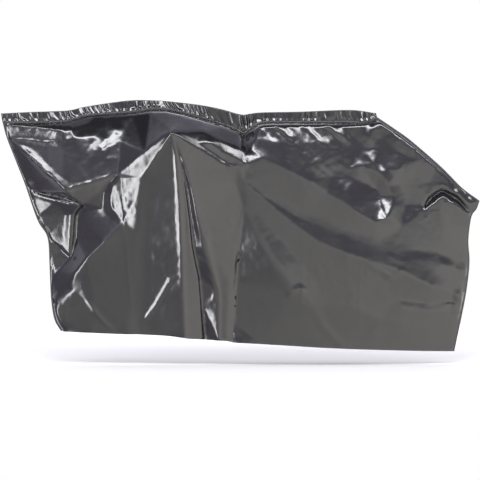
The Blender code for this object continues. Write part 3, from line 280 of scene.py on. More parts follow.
NEAR_CREASES = [Crease(*row) for row in (
    # bright lines
    ("wing top", 0.40, 2.5, 5, ((7, 138.5), (30, 139.8), (50, 142.3), (62, 142.3), (67, 140),
     (74, 136))),
    ("wing corner", 0.16, 3, 2, ((70, 124), (72, 130), (75, 138.5))),
    ("wing diagonal", 0.20, 3, 3, ((9, 139), (27, 152), (40, 165))),
    ("wing diagonal, foot", 0.62, 8, 3, ((14, 142), (34, 160), (52, 177), (74, 195))),
    ("wing fold", 0.30, 2.5, 3, ((67, 190), (95, 182), (119, 174))),
    ("bar, front", 0.14, 3, 3, ((119, 174), (146, 152), (171, 133))),
    ("roof arc", 0.20, 2.5, 4, ((226, 167.5), (237, 166.5), (246, 169.5))),
    ("centre crease, top", 0.50, 2, 2, ((246.5, 151), (246, 160), (245, 170))),
    ("lower wing top", 0.30, 2.5, 3, ((30, 191), (42, 196.5), (58, 200.5), (72, 203.5))),
    ("foot cap", 0.30, 2.5, 4, ((140, 326), (158, 301), (171, 278), (178, 275.5), (185, 283))),
    ("foot, front", 0.22, 3, 4, ((84, 294), (95, 309), (107, 323), (119, 331))),
    ("loop", 0.20, 2.5, 3, ((203, 276), (207, 273), (212, 279), (215, 292), (213, 299), (208, 297))),
    # saddle lobe
    ("saddle light, first", 0.30, 3, 3, ((253, 123), (259, 127), (265, 136))),
    ("saddle light, front", 0.50, 5, 3, ((268, 121), (280, 130), (294, 142))),
    ("saddle light, rear", 0.60, 7, 4, ((316, 116), (330, 128), (350, 145))),
    ("saddle streak", 0.25, 3, 3, ((298, 124), (312, 134), (324, 148))),
    # lower rear field
    ("hook", 0.35, 3, 5, ((365, 262), (380, 270), (390, 275), (397, 272), (401, 266))),
    ("short crease", 0.12, 3, 5, ((384, 253), (396, 258), (407, 262))),
    ("wheel", 0.22, 6, 6, ((310, 300), (322, 325), (342, 345), (366, 346))),
    ("pedal", 0.40, 5, 5, ((286, 296), (292, 289), (300, 287), (305, 293))),
    # from the packaging, at mid length
    ("packaging crease, middle", -0.12, 1.5, 1.5, ((244.8, 176), (244, 205), (241, 238), (238, 262),
     (236, 300), (233.5, 338))),
)] + packaging(
    (0.10, PACKAGING_FRONT),
    (0.10, ((75, 130), (72, 180), (74, 206))),
    (0.08, ((66, 292), (67, 331))),
    (0.08, ((184, 140), (185, 200))),
    (0.08, ((303, 180), (302, 250), (300, 340))),
    (0.06, ((361, 210), (359, 280), (357, 345))),
)
FAR_CREASES = packaging(
    (0.10, PACKAGING_FRONT),
    (0.08, ((303, 180), (302, 250), (300, 335))),
    (0.08, ((361, 170), (359, 280), (357, 340))),
)

# Crumpled patches: fine creases scattered over an ellipse round (px, py). length and width in px,
# height in centimetres, angle and spread in degrees from the +X direction, upwards.
Patch = namedtuple("Patch", "name px py wide high count length width height angle spread")

NEAR_PATCHES = [Patch(*row) for row in (
    ("whole side", 250, 230, 230, 120, 500, 16, 3, 0.035, 0, 180),
    ("puckers, front", 60, 124, 62, 8, 60, 9, 2, 0.10, 80, 35),
    ("roll under the band", 48, 127.5, 22, 3, 26, 9, 2, 0.10, 10, 40),
    ("puckers, bars", 165, 118, 75, 9, 80, 10, 2, 0.08, 70, 50),
    ("puckers, rear", 300, 129, 56, 8, 60, 13, 2, 0.09, 105, 30),
    ("diagonal highlight", 104, 142, 22, 22, 60, 12, 2.5, 0.07, 50, 40),
    ("pouch", 118, 200, 14, 24, 40, 9, 2.5, 0.07, 80, 60),
    ("centre crease", 234, 260, 6, 70, 80, 8, 2, 0.04, 80, 60),
    ("lobe", 318, 150, 40, 26, 90, 18, 2.5, 0.06, 125, 30),
    ("lobe, across", 318, 158, 34, 16, 40, 16, 2.5, 0.04, 35, 30),
    ("lobe rear", 362, 168, 16, 22, 40, 12, 2.5, 0.03, 60, 50),
    ("rear corner", 392, 148, 22, 22, 90, 9, 3, 0.03, 0, 180),
    ("tail", 440, 200, 30, 22, 50, 10, 2.5, 0.10, 0, 180),
    ("front pocket", 62, 262, 16, 36, 50, 10, 2.5, 0.04, 40, 60),
    ("light band", 345, 280, 50, 26, 200, 7, 2, 0.035, 80, 50),
    ("dark field", 262, 245, 18, 40, 60, 9, 2, 0.02, 60, 60),
    ("rear pleats", 205, 280, 22, 60, 70, 10, 2.5, 0.04, 90, 30),
)]
FAR_PATCHES = [Patch(*row) for row in (
    ("whole side", 250, 230, 230, 120, 500, 16, 3, 0.05, 0, 180),
    ("puckers", 190, 122, 180, 12, 160, 9, 2, 0.10, 85, 45),
)]


# ---- lines ----
def smooth_line(points, step):
    """Points every `step` px along a smooth curve through `points`, however many columns they have."""
    knots = np.array(points, float)
    ends = np.vstack([2 * knots[0] - knots[1], knots, 2 * knots[-1] - knots[-2]])
    line = [knots[0]]
    for before, start, end, after in zip(ends, ends[1:], ends[2:], ends[3:]):
        pieces = max(1, round(np.hypot(*(end - start)[:2]) / step))
        for t in np.arange(1, pieces + 1) / pieces:
            line.append(0.5 * (2 * start + (end - before) * t
                               + (2 * before - 5 * start + 4 * end - after) * t ** 2
                               + (3 * start - before - 3 * end + after) * t ** 3))
    return np.array(line)


def straight_line(points, step):
    """Points about every `step` px along the straight runs between `points`."""
    knots = np.array(points, float)
    line = [knots[0]]
    for start, end in zip(knots, knots[1:]):
        pieces = max(1, round(np.hypot(*(end - start)[:2]) / step))
        line.extend(start + (end - start) * t for t in np.arange(1, pieces + 1) / pieces)
    return np.array(line)


def with_out(points, out):
    """The same (px, py) points with one value of out added to each."""
    return [(px, py, out) for px, py in points]


def welded_edge(step):
    """The welded edge of both sides, from the foot of the rear end over the top to the front."""
    edges = (smooth_line(with_out(REAR_EDGE, 0.0), step)[::-1],
             smooth_line(with_out(REAR_SLOPE, 0.0), step)[::-1],
             smooth_line(with_out(WELD, 0.0), step)[::-1], smooth_line(with_out(FRONT_EDGE, 0.0), step))
    return np.vstack([edge[:-1] for edge in edges])


def panel_outline(hem, step):
    """The closed edge of a side panel, round from the foot of its rear end, as (px, py, out)."""
    return np.vstack([welded_edge(step), smooth_line(hem, step)[:-1]])


def inset(outline, distance):
    """The closed outline moved inwards by a distance in px."""
    along = np.roll(outline, -1, axis=0) - np.roll(outline, 1, axis=0)
    along /= np.hypot(*along.T)[:, None]
    return outline + distance * np.stack([along[:, 1], -along[:, 0]], axis=1)


# ---- the film between its folds ----
FIELD_WIDTH = 482  # px, the field reaches past the cover on every side
FIELD_TOP = 96
FIELD_HEIGHT = 262
EDGE_STEP = 3.5  # px between the corners of the panels' edges
MARGIN_BEND_PX = 1.5  # in which the film turns from the flat margin into its drape
MARGIN_EASE_PX = 0.2  # by which the margin stays flat past its own width
BY_WELD_PX = 4  # film this close to a weld is measured from it
LEAST_OUT = 0.1  # cm, the film's own room beside the middle plane
OUTLINE_STEP = 1.0  # px between the points of an outline that hold the film ...
FOLD_STEP = 0.25  # ... of a fold ...
CREASE_STEP = 0.7  # ... and of a crease
WELD_STEP = 0.5  # px between the points of the weld
FILM_REACH = 2  # px by which the film goes on past its outline
OUTLINE_ROUND = 0.8  # how softly the film turns at its outline
OUTLINE_HOLD = 12.0  # how firmly the outline holds the film ...
FOLD_HOLD = 1.5  # ... and how firmly a fold does
SOFTENING_PX = (0.7, 1.4, 2.8, 5.6)  # from the sharpest folds to the roundest
TAUT_STEPS = 900  # most steps in which the film is pulled taut ...
TAUT_REST = 1e-7  # ... and the remainder at which it is taut enough
FACET_SHARE = 0.7  # how far the taut film between its folds falls into flat facets
FACET_EDGE_PX = 14  # from corner to corner of the facets along the outline
FACET_LEAST = 1.0  # square px, twice the area of the smallest facet
FACET_SLACK = 0.001  # share by which a facet reaches past its edges
ROW_PITCH = 0.866  # height of an even triangle over its side
CORNER_MERGE_PX = 0.35  # corners closer than this are one
CLEAR_OF_MARGIN = 0.3  # how near a fold's corners come to the margin, over the net's spacing ...
CLEAR_OF_CORNERS = 0.62  # ... and a filling corner to its neighbours
WELD_PARTS = 64  # parts in which distances to the weld are measured
FIELD_END = 2.001  # px kept clear at the field's end, so that there is always a next point
NO_WEIGHT, NO_PULL, NO_FILM = 1e-9, 1e-30, 1e-6  # what a divisor of nought is taken for
CREASE_TAPER = 4  # a crease rises, and falls again, over this part of its length: 1/4
CRUMPLE_ROUND = 0.5  # px, how softly the film turns over scattered creases
CRUMPLE_LENGTH = (0.5, 1.5)  # ranges in which their length, height and flanks vary ...
CRUMPLE_HEIGHT = (0.4, 1.6)
CRUMPLE_FLANK = (0.5, 2.0)
CRUMPLE_BEND = (-0.3, 0.3)  # ... and how far their middle is bent aside, over half their length
NEAR_SEED, FAR_SEED = 11, 12


def inside(outline, px, py):
    """True where the points (px, py) lie inside the closed outline."""
    result = np.zeros(np.shape(px), bool)
    for (x0, y0), (x1, y1) in zip(outline, np.roll(outline, -1, axis=0)):
        if y0 == y1:
            continue
        crosses = (y0 > py) != (y1 > py)
        result ^= crosses & (px < x0 + (py - y0) * (x1 - x0) / (y1 - y0))
    return result


def splat(total, weight, line, values, strength):
    """Spread the values along a line over the four field points round each of its points."""
    column = np.floor(line[:, 0]).astype(int)
    row = np.floor(line[:, 1] - FIELD_TOP).astype(int)
    across, down = line[:, 0] - column, line[:, 1] - FIELD_TOP - row
    for c, r, share in ((0, 0, (1 - across) * (1 - down)), (1, 0, across * (1 - down)),
                        (0, 1, (1 - across) * down), (1, 1, across * down)):
        np.add.at(weight, (row + r, column + c), share * strength)
        np.add.at(total, (row + r, column + c), share * strength * values)


def stretch(total, weight, film):
    """Film pulled taut between the lines that hold it, found by conjugate gradients."""
    across = film[:, 1:] & film[:, :-1]
    down = film[1:] & film[:-1]

    def pull(field):
        result = weight * field
        step = (field[:, 1:] - field[:, :-1]) * across
        result[:, 1:] += step
        result[:, :-1] -= step
        step = (field[1:] - field[:-1]) * down
        result[1:] += step
        result[:-1] -= step
        return result

    field = np.where(weight > 0, total / np.maximum(weight, NO_WEIGHT), total.sum() / weight.sum())
    field[~film] = 0
    rest = np.where(film, total - pull(field), 0)
    way = rest.copy()
    size = (rest * rest).sum()
    for _ in range(TAUT_STEPS):
        pulled = pull(way)
        length = size / max((way * pulled).sum(), NO_PULL)
        field += length * way
        rest -= length * pulled
        new_size = (rest * rest).sum()
        if new_size < TAUT_REST:
            break
        way = rest + way * (new_size / size)
        size = new_size
    return field


def blur(field, film, radius):
    """Gaussian blur that takes nothing from outside the film."""
    reach = int(3 * radius) + 1
    kernel = np.exp(-0.5 * (np.arange(-reach, reach + 1) / radius) ** 2)

    def spread(values):
        for axis in (0, 1):
            padded = np.pad(values, [(reach, reach) if a == axis else (0, 0) for a in (0, 1)])
            values = sum(k * np.take(padded, range(i, i + values.shape[axis]), axis=axis)
                         for i, k in enumerate(kernel))
        return values
    return spread(field * film) / np.maximum(spread(film.astype(float)), NO_FILM)


def distance_to(places, others):
    """How far each place lies from the nearest of the others, in px."""
    return np.min(np.hypot(*(places[:, None] - others[None]).transpose(2, 0, 1)), axis=1)


def raise_crease(field, crease):
    """Add one crease to the field: a ridge with two straight flanks that tapers at both ends."""
    line = straight_line(crease.path, CREASE_STEP)
    reach = max(crease.left, crease.right) + 1
    low = np.maximum(np.floor(line.min(axis=0) - (reach, reach + FIELD_TOP)).astype(int), 0)
    high = np.ceil(line.max(axis=0) + (reach, reach - FIELD_TOP)).astype(int)
    columns = np.arange(low[0], min(high[0], FIELD_WIDTH - 1) + 1)
    rows = np.arange(low[1], min(high[1], FIELD_HEIGHT - 1) + 1)
    if not len(columns) or not len(rows):
        return
    gap_x = columns[None, :, None] - line[:, 0]
    gap_y = (rows + FIELD_TOP)[:, None, None] - line[:, 1]
    distance = gap_x ** 2 + gap_y ** 2
    nearest = distance.argmin(axis=2)
    x, y, square = (
        np.take_along_axis(np.broadcast_to(values, distance.shape), nearest[..., None], axis=2)[..., 0]
        for values in (gap_x, gap_y, distance))
    away = np.sqrt(square)
    along = np.gradient(line, axis=0)[nearest]
    on_left = along[..., 0] * y - along[..., 1] * x < 0
    flank = np.where(on_left, crease.left, crease.right)
    share = nearest / (len(line) - 1)
    taper = np.clip(CREASE_TAPER * share, 0, 1) * np.clip(CREASE_TAPER * (1 - share), 0, 1)
    field[np.ix_(rows, columns)] += crease.height * taper * np.maximum(1 - away / flank, 0)


def scattered(patch, draw):
    """The fine creases of one crumpled patch."""
    for _ in range(patch.count):
        turn, far = draw.uniform(0, 2 * np.pi), np.sqrt(draw.uniform())
        middle = np.array([patch.px + patch.wide * far * np.cos(turn),
                           patch.py + patch.high * far * np.sin(turn)])
        angle = np.radians(patch.angle + draw.uniform(-1, 1) * patch.spread / 2)
        length = 0.5 * patch.length * draw.uniform(*CRUMPLE_LENGTH)
        half = length * np.array([np.cos(angle), -np.sin(angle)])
        bend = np.array([half[1], -half[0]]) * draw.uniform(*CRUMPLE_BEND)
        height = patch.height * draw.uniform(*CRUMPLE_HEIGHT) * draw.choice((-1, 1))
        left, right = patch.width * draw.uniform(*CRUMPLE_FLANK, 2)
        yield Crease(patch.name, height, left, right, (middle - half, middle + bend, middle + half))


class Side:
    """One side of the cover: how far its film stands out at any place."""

    def __init__(self, folds, creases, patches, hem, seed):
        self.outline = panel_outline(hem, OUTLINE_STEP)
        self.folds = folds
        self.creases = creases
        row, column = np.mgrid[0:FIELD_HEIGHT, 0:FIELD_WIDTH]
        film = inside(self.outline[:, :2], column, row + FIELD_TOP)
        for _ in range(FILM_REACH):
            film[1:-1, 1:-1] |= (film[2:, 1:-1] | film[:-2, 1:-1] | film[1:-1, 2:] | film[1:-1, :-2])
        out_total, round_total = np.zeros(film.shape), np.zeros(film.shape)
        weight, round_weight = np.zeros(film.shape), np.zeros(film.shape)
        lines = [(self.outline, OUTLINE_ROUND, OUTLINE_HOLD)]
        lines += [(straight_line(fold.path, FOLD_STEP), fold.round, FOLD_HOLD) for fold in folds]
        for line, softness, strength in lines:
            splat(out_total, weight, line, line[:, 2], strength)
            splat(round_total, round_weight, line, np.log(softness), 1.0)
        out = stretch(out_total, weight, film)
        out += FACET_SHARE * (self.facets(out) - out)
        softness = np.exp(stretch(round_total, round_weight, film))
        layers = [blur(out, film, radius) for radius in SOFTENING_PX]
        self.field = layers[0]
        for radius, layer in zip(SOFTENING_PX[1:], layers[1:]):
            share = np.clip(np.log2(softness / (radius / 2)), 0, 1)
            self.field = self.field + (layer - self.field) * share
        for crease in creases:
            raise_crease(self.field, crease)
        draw = np.random.default_rng(seed)
        crumple = np.zeros(self.field.shape)
        for patch in patches:
            for crease in scattered(patch, draw):
                raise_crease(crumple, crease)
        self.field += blur(crumple, film, CRUMPLE_ROUND)
        self.weld = welded_edge(WELD_STEP)[:, :2]
        self.by_weld = np.zeros(film.shape, bool)
        reach = np.arange(-BY_WELD_PX, BY_WELD_PX + 1)
        for across in reach:
            for down in reach:
                spot = np.round(self.weld + (across, down - FIELD_TOP)).astype(int)
                self.by_weld[spot[:, 1], np.clip(spot[:, 0], 0, FIELD_WIDTH - 1)] = True

    def facets(self, out):
        """The field as flat facets between the corners of the folds and of the outline."""
        corners, edges = [], []
        folds = [np.array(fold.path, float)[:, :2] for fold in self.folds]
        for line in (self.outline[::FACET_EDGE_PX, :2], *folds):
            first = len(corners)
            corners.extend(tuple(corner) for corner in line)
            edges.extend((i, i + 1) for i in range(first, len(corners) - 1))
        net = delaunay_2d_cdt(corners, edges, [], 0, CORNER_MERGE_PX)
        corners = np.array([tuple(corner) for corner in net[0]])
        row = np.clip(np.round(corners[:, 1]).astype(int) - FIELD_TOP, 0, FIELD_HEIGHT - 1)
        held = out[row, np.clip(np.round(corners[:, 0]).astype(int), 0, FIELD_WIDTH - 1)]
        flat = out.copy()
        for face in net[2]:
            (ax, ay), (bx, by), (cx, cy) = corners[list(face)]
            area = (bx - ax) * (cy - ay) - (cx - ax) * (by - ay)
            if abs(area) < FACET_LEAST:
                continue
            left, right = math.floor(min(ax, bx, cx)), math.ceil(max(ax, bx, cx)) + 1
            top, foot = math.floor(min(ay, by, cy)), math.ceil(max(ay, by, cy)) + 1
            py, px = np.mgrid[top:foot, max(left, 0):min(right, FIELD_WIDTH)]
            second = ((px - ax) * (cy - ay) - (cx - ax) * (py - ay)) / area
            third = ((bx - ax) * (py - ay) - (px - ax) * (by - ay)) / area
            first = 1 - second - third
            here = np.minimum(np.minimum(first, second), third) > -FACET_SLACK
            level = first * held[face[0]] + second * held[face[1]] + third * held[face[2]]
            flat[py[here] - FIELD_TOP, px[here]] = level[here]
        return flat

    def out(self, px, py):
        """How far the film stands out at (px, py), in centimetres: flat in the margin by the welds."""
        column = np.clip(px, 0, FIELD_WIDTH - FIELD_END)
        row = np.clip(py - FIELD_TOP, 0, FIELD_HEIGHT - FIELD_END)
        c, r = np.floor(column).astype(int), np.floor(row).astype(int)
        a, b = column - c, row - r
        value = ((1 - b) * ((1 - a) * self.field[r, c] + a * self.field[r, c + 1])
                 + b * ((1 - a) * self.field[r + 1, c] + a * self.field[r + 1, c + 1]))
        close = np.flatnonzero(self.by_weld[r, c])
        places = np.stack([px, py], axis=1)[close]
        parts = np.array_split(places, WELD_PARTS)
        from_weld = np.concatenate([distance_to(part, self.weld) for part in parts])
        rise = np.ones(len(px))
        rise[close] = np.clip((from_weld - WELD_MARGIN / PX - MARGIN_EASE_PX) / MARGIN_BEND_PX, 0, 1)
        return np.maximum(value, LEAST_OUT) * rise


def place(px, py, out):
    """Metres in the part's frame for a place on the cover, out in centimetres towards -Y."""
    return np.stack([(np.asarray(px) - MOUNT_PX) * PX, -np.asarray(out) * CM,
                     (MOUNT_PY - np.asarray(py)) * PX], axis=-1)


# ---- sheets ----
def new_object(name, data):
    """An object in the scene that shows the given data."""
    made = bpy.data.objects.new(name, data)
    bpy.context.scene.collection.objects.link(made)
    return made


def solidify(made, name, thickness, offset):
    """Give a sheet its thickness."""
    shell = made.modifiers.new(name, "SOLIDIFY")
    shell.thickness = thickness
    shell.offset = offset


def new_piece(name, points, faces, finish, node):
    """A smooth mesh that stands for a node of the frame."""
    mesh = bpy.data.meshes.new(name)
    mesh.from_pydata([tuple(map(float, p)) for p in points], [], faces)
    mesh.materials.append(finish)
    mesh.shade_smooth()
    made = new_object(name, mesh)
    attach(made, "root")
    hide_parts(node)
    return made


def fold_aligned_net(side, hem, spacing):
    """Triangles over a side whose edges run along its folds: places (px, py) and faces."""
    outline = panel_outline(hem, EDGE_STEP)[:, :2]
    margin = inset(outline, WELD_MARGIN / PX)
    points, edges = [], []

    def add_line(line, closed=False):
        first, count = len(points), len(line)
        points.extend(tuple(p) for p in line)
        edges.extend((first + i, first + i + 1) for i in range(count - 1))
        if closed:
            edges.append((first + count - 1, first))

    add_line(outline, closed=True)
    add_line(margin, closed=True)
    for fold in side.folds + side.creases:
        line = straight_line(fold.path, spacing)[:, :2]
        clear = distance_to(line, margin) > CLEAR_OF_MARGIN * spacing
        add_line(line[clear & inside(margin, line[:, 0], line[:, 1])])
    held = np.array(points)
    for number, height in enumerate(np.arange(0, FIELD_HEIGHT, spacing * ROW_PITCH)):
        px = np.arange(0.5 * spacing * (number % 2), FIELD_WIDTH, spacing)
        fill = np.stack([px, np.full(px.shape, FIELD_TOP + height)], axis=1)
        clear = distance_to(fill, held) > CLEAR_OF_CORNERS * spacing
        points.extend(tuple(p) for p in fill[clear & inside(margin, fill[:, 0], fill[:, 1])])
    net = delaunay_2d_cdt(points, edges, [], 1, CORNER_MERGE_PX)
    return np.array([tuple(p) for p in net[0]]), np.array([tuple(face) for face in net[2]])


def halved(places, faces):
    """Each triangle cut in four through the middles of its edges."""
    sides = np.sort(np.concatenate([faces[:, [0, 1]], faces[:, [1, 2]], faces[:, [2, 0]]]), axis=1)
    unique, number = np.unique(sides, axis=0, return_inverse=True)
    number = number.reshape(-1) + len(places)
    count = len(faces)
    ab, bc, ca = number[:count], number[count:2 * count], number[2 * count:]
    a, b, c = faces.T
    quarters = ((a, ab, ca), (ab, b, bc), (ca, bc, c), (ab, bc, ca))
    places = np.vstack([places, places[unique].mean(axis=1)])
    return places, np.concatenate([np.stack(quarter, axis=1) for quarter in quarters])


def side_panel(name, node, side, hem, spacing, facing, finish):
    """A film panel: the net of its side set out from the middle plane and given its thickness."""
    places, faces = fold_aligned_net(side, hem, spacing)
    for _ in range(FINER):
        places, faces = halved(places, faces)
    out = side.out(places[:, 0], places[:, 1])
    points = place(places[:, 0], places[:, 1], out * facing)
    points[:, 1] -= facing * SEAM_GAP / 2
    a, b, c = (points[corner] for corner in faces.T)
    if np.cross(b - a, c - a)[:, 1].sum() * facing > 0:
        faces = faces[:, ::-1]
    made = new_piece(name, points, faces.tolist(), finish, node)
    solidify(made, "film", FILM, 1.0)
    return made


PLEAT_PX = 7.0  # mean pitch of the gathers
PLEAT_COLUMNS = 12  # corners to a gather
PLEAT_DEPTH = 0.34  # cm, how far a gather stands out to each side
PLEAT_SWAY = 0.35  # px, how far it swings sideways
PLEAT_TURN = 2.0  # how far a slanting gather moves on over the band's height
PLEAT_GROWTH = 3.0  # a gather is full grown at this part of the height: 1/3 ...
FADE_FROM = 0.5  # ... and fades from here on
PUCKERS = 2.7  # fine puckers to a gather
PUCKER_DEPTH = 0.04  # cm
PUCKER_TURN = 5
BAND_LEAN = 1.10  # cm, how far the free top edge leans back
LEAN_PLEATS = 4  # gathers over which the lean changes
BAND_ROWS = 16
BAND_STEP = 0.5  # px between the points of the band's edges
BAND_SEED = 5
# ranges in which the gathers vary
PITCHES, DEPTHS, SLANTS = (0.4, 1.6), (0.05, 1.5), (-1.4, 1.4)
LEANS, FADES = (0.4, 1.0), (0.4, 1.0)


def heading_band(finish):
    """The gathered strip above the weld: uneven pleats that grow from the weld to the free top edge."""
    draw = np.random.default_rng(BAND_SEED)
    low = smooth_line(WELD, BAND_STEP)
    length = np.hypot(*np.diff(low, axis=0).T).sum()
    pleats = int(length / PLEAT_PX)
    count = pleats * PLEAT_COLUMNS
    share = np.linspace(0, 1, count)

    def along(line):
        reach = np.concatenate([[0], np.cumsum(np.hypot(*np.diff(line, axis=0).T))])
        return np.stack([np.interp(share * reach[-1], reach, line[:, i]) for i in (0, 1)], axis=1)

    def uneven(bounds, every=1):
        knots = np.arange(0, pleats + 2 * every, every)
        return np.interp(share * pleats, knots, draw.uniform(*bounds, len(knots)))

    low, top = along(low), along(smooth_line(BAND_TOP, BAND_STEP))
    pitch = np.cumsum(draw.uniform(*PITCHES, pleats + 2))
    phase = 2 * np.pi * np.interp(share * pleats, np.arange(pleats + 2), pitch)
    deep, slant, lean = uneven(DEPTHS), uneven(SLANTS), uneven(LEANS, LEAN_PLEATS)
    fade = uneven(FADES)
    points = []
    for height in np.linspace(0, 1, BAND_ROWS):
        line = low + (top - low) * height
        faded = np.clip((height - FADE_FROM) / (1 - FADE_FROM), 0, 1)
        swing = np.clip(height * PLEAT_GROWTH, 0, 1) * (1 - (1 - fade) * faded)
        gather = deep * np.sin(phase + slant * height * PLEAT_TURN)
        pucker = np.sin(PUCKERS * phase + PUCKER_TURN * slant * height)
        sideways = PLEAT_SWAY * deep * np.cos(phase + slant) * swing
        out = PLEAT_DEPTH * swing * gather + PUCKER_DEPTH * pucker * swing - BAND_LEAN * lean * height
        points.append(place(line[:, 0] + sideways, line[:, 1], out))
    points = np.array(points)
    points[:, :, 2] += SEAM_GAP
    faces = [(r * count + c, r * count + c + 1, (r + 1) * count + c + 1, (r + 1) * count + c)
             for r in range(BAND_ROWS - 1) for c in range(count - 1)]
    made = new_piece("heading_weld", points.reshape(-1, 3), faces, finish, "heading_band")
    solidify(made, "band", BAND_THICKNESS, 0.0)
    return made


# ---- finish ----
# noise and crinkles: scale, detail and roughness
RUBBED_NOISE, DULL_NOISE = (3.5, 4.0), (14.0, 3.0)
BROAD_NOISE, FINE_NOISE = (6.0, 3.0, 0.55), (120.0, 3.0, 0.6)
CRINKLE_SCALE = 38.0
BROAD_BUMP, CRINKLE_BUMP, FINE_BUMP = 0.002, 0.0003, 0.00015  # metres
CLEAN_COLOUR = (0.0055, 0.0052, 0.0062, 1)
RUBBED_COLOUR = (0.0085, 0.0084, 0.0088, 1)
RUBBED_FROM_TO = (0.45, 0.7)  # of the noise, from clean to rubbed ...
DULL_FROM_TO = (0.3, 0.75)  # ... and from the least roughness to the most
ROUGHNESS = (0.11, 0.18)
FILM_IOR = 1.8
COAT_WEIGHT = 0.35
COAT_ROUGHNESS = 0.05
HEADING_GRAIN = 0.6  # depth of the heading's crinkles over the panels'


class Nodes:
    """Short calls for a node tree."""

    def __init__(self, tree):
        self.tree = tree
        tree.nodes.clear()

    def put(self, value, socket):
        if isinstance(value, bpy.types.NodeSocket):
            self.tree.links.new(value, socket)
        elif value is not None:
            socket.default_value = value

    def make(self, kind, inputs=None, **settings):
        node = self.tree.nodes.new(kind)
        for name, value in settings.items():
            setattr(node, name, value)
        for key, value in (inputs or {}).items():
            self.put(value, node.inputs[key])
        return node

    def math(self, operation, *values):
        return self.make("ShaderNodeMath", dict(enumerate(values)), operation=operation).outputs[0]

    def ramp(self, value, low, high, to_low=0.0, to_high=1.0):
        """A smooth step of a value between two limits."""
        node = self.make("ShaderNodeMapRange", interpolation_type="SMOOTHSTEP")
        for name, limit in (("Value", value), ("From Min", low), ("From Max", high),
                            ("To Min", to_low), ("To Max", to_high)):
            self.put(limit, node.inputs[name])
        return node.outputs[0]

    def mix(self, share, first, second):
        node = self.make("ShaderNodeMix", data_type="RGBA")
        self.put(share, node.inputs[0])
        self.put(first, node.inputs[6])
        self.put(second, node.inputs[7])
        return node.outputs[2]

    def scaled(self, light, share):
        node = self.make("ShaderNodeVectorMath", {0: light, "Scale": share}, operation="SCALE")
        return node.outputs[0]

    def add(self, colour, share, light):
        """The colour with a light added in proportion to a share."""
        inputs = {0: colour, 1: self.scaled(light, share)}
        return self.make("ShaderNodeVectorMath", inputs, operation="ADD").outputs[0]


def film_finish(name, grain):
    """Glossy dark film: nearly a mirror, with crinkles, a fine grain and duller rubbed patches."""
    made = bpy.data.materials.new(name)
    made.use_nodes = True
    nodes = Nodes(made.node_tree)
    place_on = nodes.make("ShaderNodeTexCoord").outputs["Object"]

    def noise(scale, detail, roughness=0.5):
        inputs = {"Vector": place_on, "Scale": scale, "Detail": detail, "Roughness": roughness}
        return nodes.make("ShaderNodeTexNoise", inputs).outputs["Fac"]

    def bump(height, distance, normal=None):
        inputs = {"Height": height, "Strength": 1.0, "Distance": distance, "Normal": normal}
        return nodes.make("ShaderNodeBump", inputs).outputs[0]

    rubbed = nodes.ramp(noise(*RUBBED_NOISE), *RUBBED_FROM_TO)
    colour = nodes.mix(rubbed, CLEAN_COLOUR, RUBBED_COLOUR)
    rough = nodes.ramp(noise(*DULL_NOISE), *DULL_FROM_TO, *ROUGHNESS)
    inputs = {"Vector": place_on, "Scale": CRINKLE_SCALE, "Randomness": 1.0}
    crinkle = nodes.make("ShaderNodeTexVoronoi", inputs, feature="F1", distance="EUCLIDEAN")
    broad = bump(noise(*BROAD_NOISE), BROAD_BUMP)
    creased = bump(crinkle.outputs["Distance"], CRINKLE_BUMP * grain, broad)
    fine = bump(noise(*FINE_NOISE), FINE_BUMP * grain, creased)
    shader = nodes.make("ShaderNodeBsdfPrincipled", {
        "Base Color": colour, "Roughness": rough, "IOR": FILM_IOR, "Normal": fine,
        "Coat Weight": COAT_WEIGHT, "Coat Roughness": COAT_ROUGHNESS})
    nodes.make("ShaderNodeOutputMaterial", {"Surface": shader.outputs[0]})
    return made


# ---- studio ----
WHITE = (1.0, 1.0, 1.0)
COOL = (0.92, 0.96, 1.12)
# colour, power, azimuth and height of its middle, half its width and height (degrees), crispness
SOFT_BOXES = ((COOL, 0.35, -12, 36, 55, 12, 2), (COOL, 1.2, 4, 37, 52, 7.5, 2),
              (COOL, 0.6, -46, 10, 9, 26, 2), (WHITE, 9.0, 4, 37, 54, 4.6, 4),
              (WHITE, 8.0, -44.5, -6, 4.6, 14, 4))
BEHIND_SHARE = 0.12  # brightness of the same boxes behind the cover
BEHIND_HAZE = (0.30, 0.28, 0.34)  # light added behind the cover, which the far side reflects
BACKDROP = (1.02, 1.0, 0.97)
DARK_BELOW, DARK_ABOVE = (0.38, 0.365, 0.435, 1), (0.11, 0.105, 0.125, 1)
# where the studio changes, in degrees of height or azimuth: from, to and the two values there
PALE_HEIGHT, PALE_AZIMUTH, DARK_HEIGHT = (21, 3), (-46, -22), (18, 62)
TONE_REAR, TONE_FRONT, TONE_BELOW = (-5, 40, 0.98, 1.32), (0, -35, 0.0, -0.2), (0, -20, 0.0, -0.1)
# the same by direction Y, for the dimmer boxes and the haze behind the cover
BOXES_BEHIND, HAZE_BEHIND = (0.03, -0.03, BEHIND_SHARE, 1.0), (-0.03, 0.25)
CAMERA_LENS = 200.0  # mm
CAMERA_SENSOR = 36.0  # mm
CAMERA_REACH = 100  # metres
CAMERA_HEIGHT = 1.5  # degrees above the level
FRAME_PX = 480.0
FLOOR_SIZE = (5.4, 6.0, 1.0)
FLOOR_COLOUR = (0.85, 0.85, 0.85, 1)
FLOOR_ROUGHNESS = 0.9
FLOOR_GLOW = 0.12
FLOOR_LAMPS = ((0.0, 3.6, 20), (-3.6, 2.2, 75), (3.6, 2.2, 75))  # Y, Z in metres and power
LAMP_SIZE = (1.8, 1.0)
LAMP_AIM = -1.0  # height of the point under the cover that the lamps face


